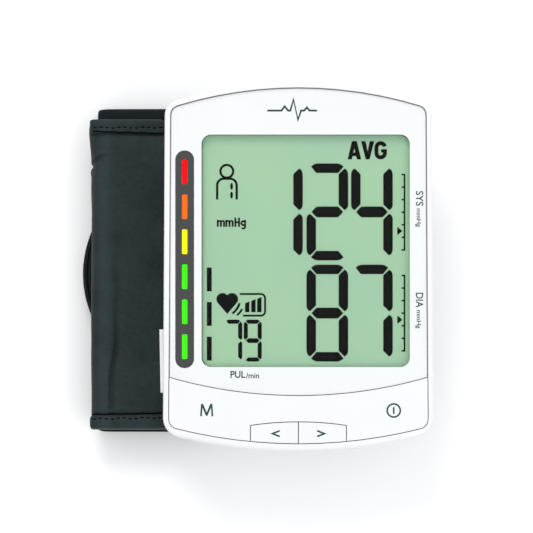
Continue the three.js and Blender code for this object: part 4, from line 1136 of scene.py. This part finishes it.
def pressed_layer(pad, low, high):
    """Small creases and soft ridges, from folding and from lying under the monitor."""
    middle = (low.z + high.z) / 2
    span = (high.y - low.y) / MM
    for vertex in pad.data.vertices:
        x = (vertex.co.x - low.x) / MM
        y = (vertex.co.y - low.y) / MM
        beyond = span - y
        upper = ramp(vertex.co.z, middle, high.z - 2.2 * MM)
        ridge = 0.55 * bell(x, 6.3 + 0.8 * math.sin(y / 17), 4.2)
        crease = -1.3 * bell(x, 11.6 - 2.2 * (1 - ramp(y, 22, 40)), 1.6)
        crease *= ramp(y, 3, 9) * (1 - ramp(y, 30, 62))
        hollow = -0.6 * bell(x, 2.8, 2.4) * bell(y, 31, 9) - 0.5 * bell(x, 9.5, 2.0) * bell(y, 24.5, 3.5)
        slack = 0.16 * math.sin(y / 11.0 + x / 7.0) + 0.1 * math.sin(y / 5.3 - x / 4.0)
        pinch = 1.5 * bell(beyond, 6.6, 1.7) + 1.3 * bell(y, 6.4, 1.7)
        line = 20.4 - 4.7 * (1 - math.exp(-max(x, 0.0) / 2.8))
        fade = 1 - ramp(x, 3.5, 9.5)
        fold = 0.9 * bell(beyond, line - 0.8, 1.2) * fade
        dip = 1.1 * bell(beyond, line + 1.2, 1.3) * fade
        vertex.co.z += MM * upper * (ridge + crease + hollow + slack - pinch + fold - dip)
        side = 1 - ramp(x, 0.0, 4.0)
        lean = 0.75 * (1 - ramp(beyond, 4.0, 19.0))
        notch = 0.8 * bell(beyond, 21.3, 1.2) - 0.35 * bell(beyond, 24.0, 1.6)
        swell = (0.45 + 0.5 * ramp(beyond, 20, 34)) * ramp(y, 4, 40)
        vertex.co.x += MM * side * (notch - lean - swell + 0.12 * math.sin(y / 12.0))
    pad.data.update()


class MONITOR_OT_cuff_layers(Operator):
    """Fills the cuff's two folded layers and shapes the sleeve of its bladder"""
    bl_idname = "monitor.cuff_layers"
    bl_label = "Cuff layers"

    def execute(self, context):
        # Name, node, slot, shrink before filling, edge rounding, fullness, and subdivision levels.
        layers = (
            ("cuff_upper_layer", "cuff_front_layer", "cuff_fabric", 0.9, 2.6, 0.7, 2),
            ("cuff_lower_layer", "cuff_back_layer", "cuff_back_fabric", 0.8, 1.8, 0.6, 1),
            ("cuff_bladder_sleeve", "cuff_bladder", "cuff_back_fabric", 0.1, 1.2, 0.2, 1),
        )
        for name, node, slot, shrink, edge, fullness, levels in layers:
            low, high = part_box(node)
            size = high - low - Vector((2, 2, 2)) * (shrink * MM)
            pad = soft_block((low + high) / 2, size, min(edge * MM, size.z * 0.45), settings()[2].voxel)
            if node != "cuff_bladder":
                fill(pad)
            apply_modifier(pad, "SUBSURF", levels=levels, render_levels=levels)
            if node == "cuff_back_layer":
                low, high = low - Vector((0.5 * MM, 0, 0)), high + Vector((0, 0.6 * MM, 0))
            fitted(pad, low, high)
            if node == "cuff_front_layer":
                pressed_layer(pad, low, high)
            select_only(pad)
            bpy.ops.object.shade_smooth()
            give(pad, name, slot, "cuff")
            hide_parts(node)
        return {"FINISHED"}


class MONITOR_OT_cuff_strap_end(Operator):
    """Models the rounded end of the cuff's strap, with a bound edge"""
    bl_idname = "monitor.cuff_strap_end"
    bl_label = "Cuff strap end"

    def execute(self, context):
        low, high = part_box("cuff_tail")
        proud, nearer, edge, inset, thread = 1.7 * MM, 1.3 * MM, 1.1 * MM, 1.9 * MM, 0.6 * MM
        depth = high.x - low.x + proud
        half = (high.y - low.y) / 2 * 1.08
        radius = (half * half + depth * depth) / (2 * depth)
        centre = (low.x - proud + radius, (low.y + high.y) / 2 - nearer)
        spread = math.degrees(math.asin(half / radius))
        strap = plate(arc(centre, radius, 180 - spread, 180 + spread, 72), low.z, high.z, edge)
        bound = ribbon(arc(centre, radius - inset, 180 - spread, 180 + spread, 72), thread)
        line = plate(bound, high.z - 0.1 * MM, high.z + 0.15 * MM)
        smooth(strap, 50)
        give(line, "binding_strap_end", "stitching", "cuff")
        give(strap, "cuff_strap_end", "cuff_back_fabric", "cuff")
        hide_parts("cuff_tail")
        return {"FINISHED"}


class MONITOR_OT_cuff_hems(Operator):
    """Models the turned hems at both ends of the cuff's upper layer"""
    bl_idname = "monitor.cuff_hems"
    bl_label = "Cuff hems"

    def execute(self, context):
        cuff = settings()[2]
        low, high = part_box("cuff_front_layer")
        middle = (low.z + high.z) / 2
        edge, port_room = 1.2 * MM, 9.2 * MM
        # Each hem: its name, how far it stands proud, its slant, the depth of its stitches, its way inwards.
        hems = (("cuff_hem_far", 0.9, 0.03, 3.9, -1), ("cuff_hem_near", 0.5, 0.02, 4.3, 1))
        for name, proud, slant, row_depth, inwards in hems:
            far = inwards < 0
            start = high.y - cuff.hem_width if far else low.y
            end = high.y if far else low.y + cuff.hem_width
            first = Vector((low.x - proud * MM, start, low.z + edge))
            last = Vector((high.x - (port_room if far else 0.0), end, high.z + 0.1 * MM))
            bar = soft_block((first + last) / 2, last - first, edge, 0.7 * MM)
            for vertex in bar.data.vertices:
                x = (vertex.co.x - low.x) / MM
                into = (high.y - vertex.co.y if far else vertex.co.y - low.y) / MM
                upper = ramp(vertex.co.z, middle, high.z - edge)
                vertex.co.y += MM * inwards * slant * x * ramp(into, 4.4, 5.8)
                row = 0.45 * bell(into, row_depth, 0.8)
                sag = 0.5 * ramp(into, 4.6, 6.2) + 0.3 * (1 - ramp(into, 0.0, 1.6))
                vertex.co.z += MM * upper * (0.1 * math.sin(x / 3.1) - row - sag)
            bar.data.update()
            select_only(bar)
            bpy.ops.object.shade_smooth()
            give(bar, name, "cuff_fabric", "cuff")
        return {"FINISHED"}


def surface_height(pieces, x, y, otherwise=None):
    """The top of the highest of some pieces at a place, or the other value where there is none."""
    down = (Vector((x, y, 1.0)), Vector((0, 0, -1)))
    found = [piece.ray_cast(*down) for piece in pieces]
    return max((spot.z for hit, spot, _, _ in found if hit), default=otherwise)


def one_stitch(length, thickness):
    """A short thread that dives into the cloth at both ends."""
    select_only()
    bpy.ops.mesh.primitive_cylinder_add(
        vertices=10, radius=thickness / 2, depth=length, rotation=(0, math.pi / 2, 0)
    )
    stitch = settle(bpy.context.object)
    edit_where(stitch, "FACE", lambda centre, face: abs(face.normal.x) > 0.9)
    bpy.ops.mesh.extrude_region_shrink_fatten(TRANSFORM_OT_shrink_fatten={"value": thickness * 0.3})
    bpy.ops.transform.resize(value=(1.0, 0.55, 0.55), center_override=(0, 0, 0))
    leave_edit()
    edit_all(stitch)
    bpy.ops.mesh.subdivide(number_cuts=1)
    leave_edit()
    for vertex in stitch.data.vertices:
        vertex.co.z -= thickness * 0.9 * (abs(vertex.co.x) / (length / 2)) ** 2
    return stitch


def thread_along(points, radius, sides=8):
    """A round thread swept along a path by extruding one ring from point to point."""
    select_only()
    bpy.ops.mesh.primitive_circle_add(
        vertices=sides, radius=radius, fill_type="NGON", location=points[0], rotation=(0, math.pi / 2, 0)
    )
    thread = settle(bpy.context.object)
    edit_all(thread)
    for before, after in zip(points, points[1:]):
        bpy.ops.mesh.extrude_region_move(TRANSFORM_OT_translate={"value": after - before})
    leave_edit()
    outward_faces(thread)
    smooth(thread, 60)
    return thread


class MONITOR_OT_cuff_stitches(Operator):
    """Sews one row of stitches along each hem, and lays a dark thread along each hem's inner edge as painted seam
    shadow
    """
    bl_idname = "monitor.cuff_stitches"
    bl_label = "Cuff stitches"

    def execute(self, context):
        cuff = settings()[2]
        low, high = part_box("cuff_front_layer")
        pitch, sink, steps, margin = cuff.stitch_pitch, 0.12 * MM, 40, 0.6 * MM
        pattern = one_stitch(pitch * 0.8, 0.6 * MM)
        upper = bpy.data.objects["cuff_upper_layer"]
        far_inner = high.y - cuff.hem_width + 0.4 * MM
        near_inner = low.y + cuff.hem_width + 0.5 * MM
        for end, row_y, row_slant, inner, inner_slant in (
            ("far", high.y - 3.9 * MM, 0.0, far_inner, -0.03),
            ("near", low.y + 4.3 * MM, 0.022, near_inner, 0.02),
        ):
            hem = bpy.data.objects[f"cuff_hem_{end}"]
            row = []
            for index in range(int((high.x - low.x) / pitch)):
                x = low.x + 0.3 * MM + (index + 0.5) * pitch
                y = row_y + 0.3 * MM * math.sin(index * 1.7) + row_slant * (x - low.x)
                height = surface_height([hem], x, y)
                if height is not None:
                    row.append(copy_of(pattern, Vector((x, y, height + sink))))
            if not row:
                raise RuntimeError(f"no stitch lands on the {end} hem")
            stitches = join(row)
            smooth(stitches, 60)
            give(stitches, f"stitches_{end}", "stitching", "cuff")
            # A dark thread along the hem's inner edge: painted shadow where the hem meets the layer below it.
            edge = []
            for step in range(steps + 1):
                x = low.x + margin + (high.x - low.x - 2 * margin) * step / steps
                y = inner + inner_slant * (x - low.x) + 0.12 * MM * math.sin(step * 0.9)
                edge.append(Vector((x, y, surface_height([upper, hem], x, y, high.z) + 0.1 * MM)))
            give(thread_along(edge, 0.32 * MM), f"binding_{end}", "stitching", "cuff")
        bpy.data.objects.remove(pattern)
        return {"FINISHED"}


class MONITOR_OT_cuff_label(Operator):
    """Lays the blank sewn label on the cuff's upper layer"""
    bl_idname = "monitor.cuff_label"
    bl_label = "Cuff label"

    def execute(self, context):
        low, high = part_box("cuff_front_layer")
        left, near, width, length = low.x + 31.1 * MM, low.y + 16.3 * MM, 9.2 * MM, 28.8 * MM
        skew, lift = 0.6 * MM, 0.12 * MM
        select_only()
        bpy.ops.mesh.primitive_grid_add(x_subdivisions=8, y_subdivisions=24, size=1)
        label = bpy.context.object
        upper = bpy.data.objects["cuff_upper_layer"]
        for vertex in label.data.vertices:
            u, v, _ = vertex.co
            x = left + (u + 0.5) * width + skew * (0.5 - v) * (0.5 - u)
            y = near + (v + 0.5) * length
            vertex.co = (x, y, surface_height([upper], x, y, high.z) + lift)
        label.data.update()
        apply_modifier(label, "SOLIDIFY", thickness=0.3 * MM, offset=1.0)
        apply_modifier(label, "BEVEL", width=0.08 * MM, segments=2, limit_method="ANGLE")
        smooth(label, 50)
        give(label, "cuff_label", "sewn_label", "cuff")
        return {"FINISHED"}


# ---- Stage ----

def area_light(name, place, size, power, aim):
    data = bpy.data.lights.new(name, "AREA")
    data.shape = "DISK"
    data.size = size
    data.energy = power
    light = bpy.data.objects.new(name, data)
    bpy.context.scene.collection.objects.link(light)
    light.location = place
    light.rotation_euler = (aim - place).to_track_quat("-Z", "Y").to_euler()
    return light


class MONITOR_OT_stage(Operator):
    """Adds the pale floor, the soft studio lights and the camera straight above the face"""
    bl_idname = "monitor.stage"
    bl_label = "Stage"

    def execute(self, context):
        stage = settings()[3]
        scene = context.scene
        low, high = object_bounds()
        middle = (Vector(low) + Vector(high)) / 2
        width, thickness, drop, cuts = 6, 0.02, 0.1 * MM, 12
        select_only()
        bpy.ops.mesh.primitive_grid_add(
            x_subdivisions=cuts, y_subdivisions=cuts, size=width, location=(0, 0, -drop)
        )
        floor = settle(bpy.context.object)
        edit_where(floor, "EDGE", lambda at, edge: max(abs(at.x), abs(at.y)) > width / 2 - 0.01)
        bpy.ops.mesh.extrude_region_move(TRANSFORM_OT_translate={"value": (0, 0, -thickness)})
        leave_edit()
        floor.name = "floor"
        floor.data.materials.append(finished("floor_paper", studio_floor))
        floor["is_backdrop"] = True
        world = bpy.data.worlds.new("studio")
        scene.world = world
        world.use_nodes = True
        background = world.node_tree.nodes["Background"]
        background.inputs["Color"].default_value = (0.985, 0.99, 1.0, 1.0)
        background.inputs["Strength"].default_value = stage.sky
        for name, offset, spread, power in (
            ("key_light", (-0.35, 1.1, 1.25), 0.9, stage.key_power),
            ("fill_light", (0.9, -0.7, 1.3), 1.2, stage.fill_power),
        ):
            area_light(name, middle + Vector(offset), spread, power, middle)
        sensor = 36.0
        distance = stage.view_width * stage.lens / sensor
        target = FACE @ Vector((stage.view_right, stage.view_up, 0))
        turned = FACE.to_3x3().normalized()
        data = bpy.data.cameras.new("camera")
        data.lens = stage.lens
        data.sensor_width = sensor
        data.clip_end = 20
        camera = bpy.data.objects.new("camera", data)
        scene.collection.objects.link(camera)
        place = target + turned @ Vector((0, 0, distance))
        camera.matrix_world = Matrix.Translation(place) @ turned.to_4x4()
        scene.camera = camera
        scene.view_settings.view_transform = "Standard"
        return {"FINISHED"}


# ---- Panel and registration ----

PIECES = (
    "inner_parts", "housing", "keys", "level_strip", "sockets", "feet", "display_digits", "display_scales",
    "display_icons", "printed_legends", "cuff_layers", "cuff_strap_end", "cuff_hems", "cuff_stitches",
    "cuff_label", "stage",
)


class MONITOR_PT_sidebar(Panel):
    """Lists the pieces in the order in which they are made"""
    bl_idname = "MONITOR_PT_sidebar"
    bl_label = "Blood pressure monitor"
    bl_space_type = "VIEW_3D"
    bl_region_type = "UI"
    bl_category = "Monitor"

    def draw(self, context):
        column = self.layout.column(align=True)
        for piece in PIECES:
            column.operator(f"monitor.{piece}")


CLASSES = (
    HousingSettings, DisplaySettings, CuffSettings, StageSettings,
    MONITOR_OT_inner_parts, MONITOR_OT_housing, MONITOR_OT_keys, MONITOR_OT_level_strip, MONITOR_OT_sockets,
    MONITOR_OT_feet, MONITOR_OT_display_digits, MONITOR_OT_display_scales, MONITOR_OT_display_icons,
    MONITOR_OT_printed_legends, MONITOR_OT_cuff_layers, MONITOR_OT_cuff_strap_end, MONITOR_OT_cuff_hems,
    MONITOR_OT_cuff_stitches, MONITOR_OT_cuff_label, MONITOR_OT_stage, MONITOR_PT_sidebar,
)
SETTINGS = {
    "monitor_housing": HousingSettings,
    "monitor_display": DisplaySettings,
    "monitor_cuff": CuffSettings,
    "monitor_stage": StageSettings,
}


def register():
    for kind in CLASSES:
        bpy.utils.register_class(kind)
    for name, kind in SETTINGS.items():
        setattr(bpy.types.Scene, name, PointerProperty(type=kind))


def unregister():
    for name in SETTINGS:
        delattr(bpy.types.Scene, name)
    for kind in reversed(CLASSES):
        bpy.utils.unregister_class(kind)


def main():
    register()
    for piece in PIECES:
        getattr(bpy.ops.monitor, piece)()


if __name__ == "__main__":
    main()
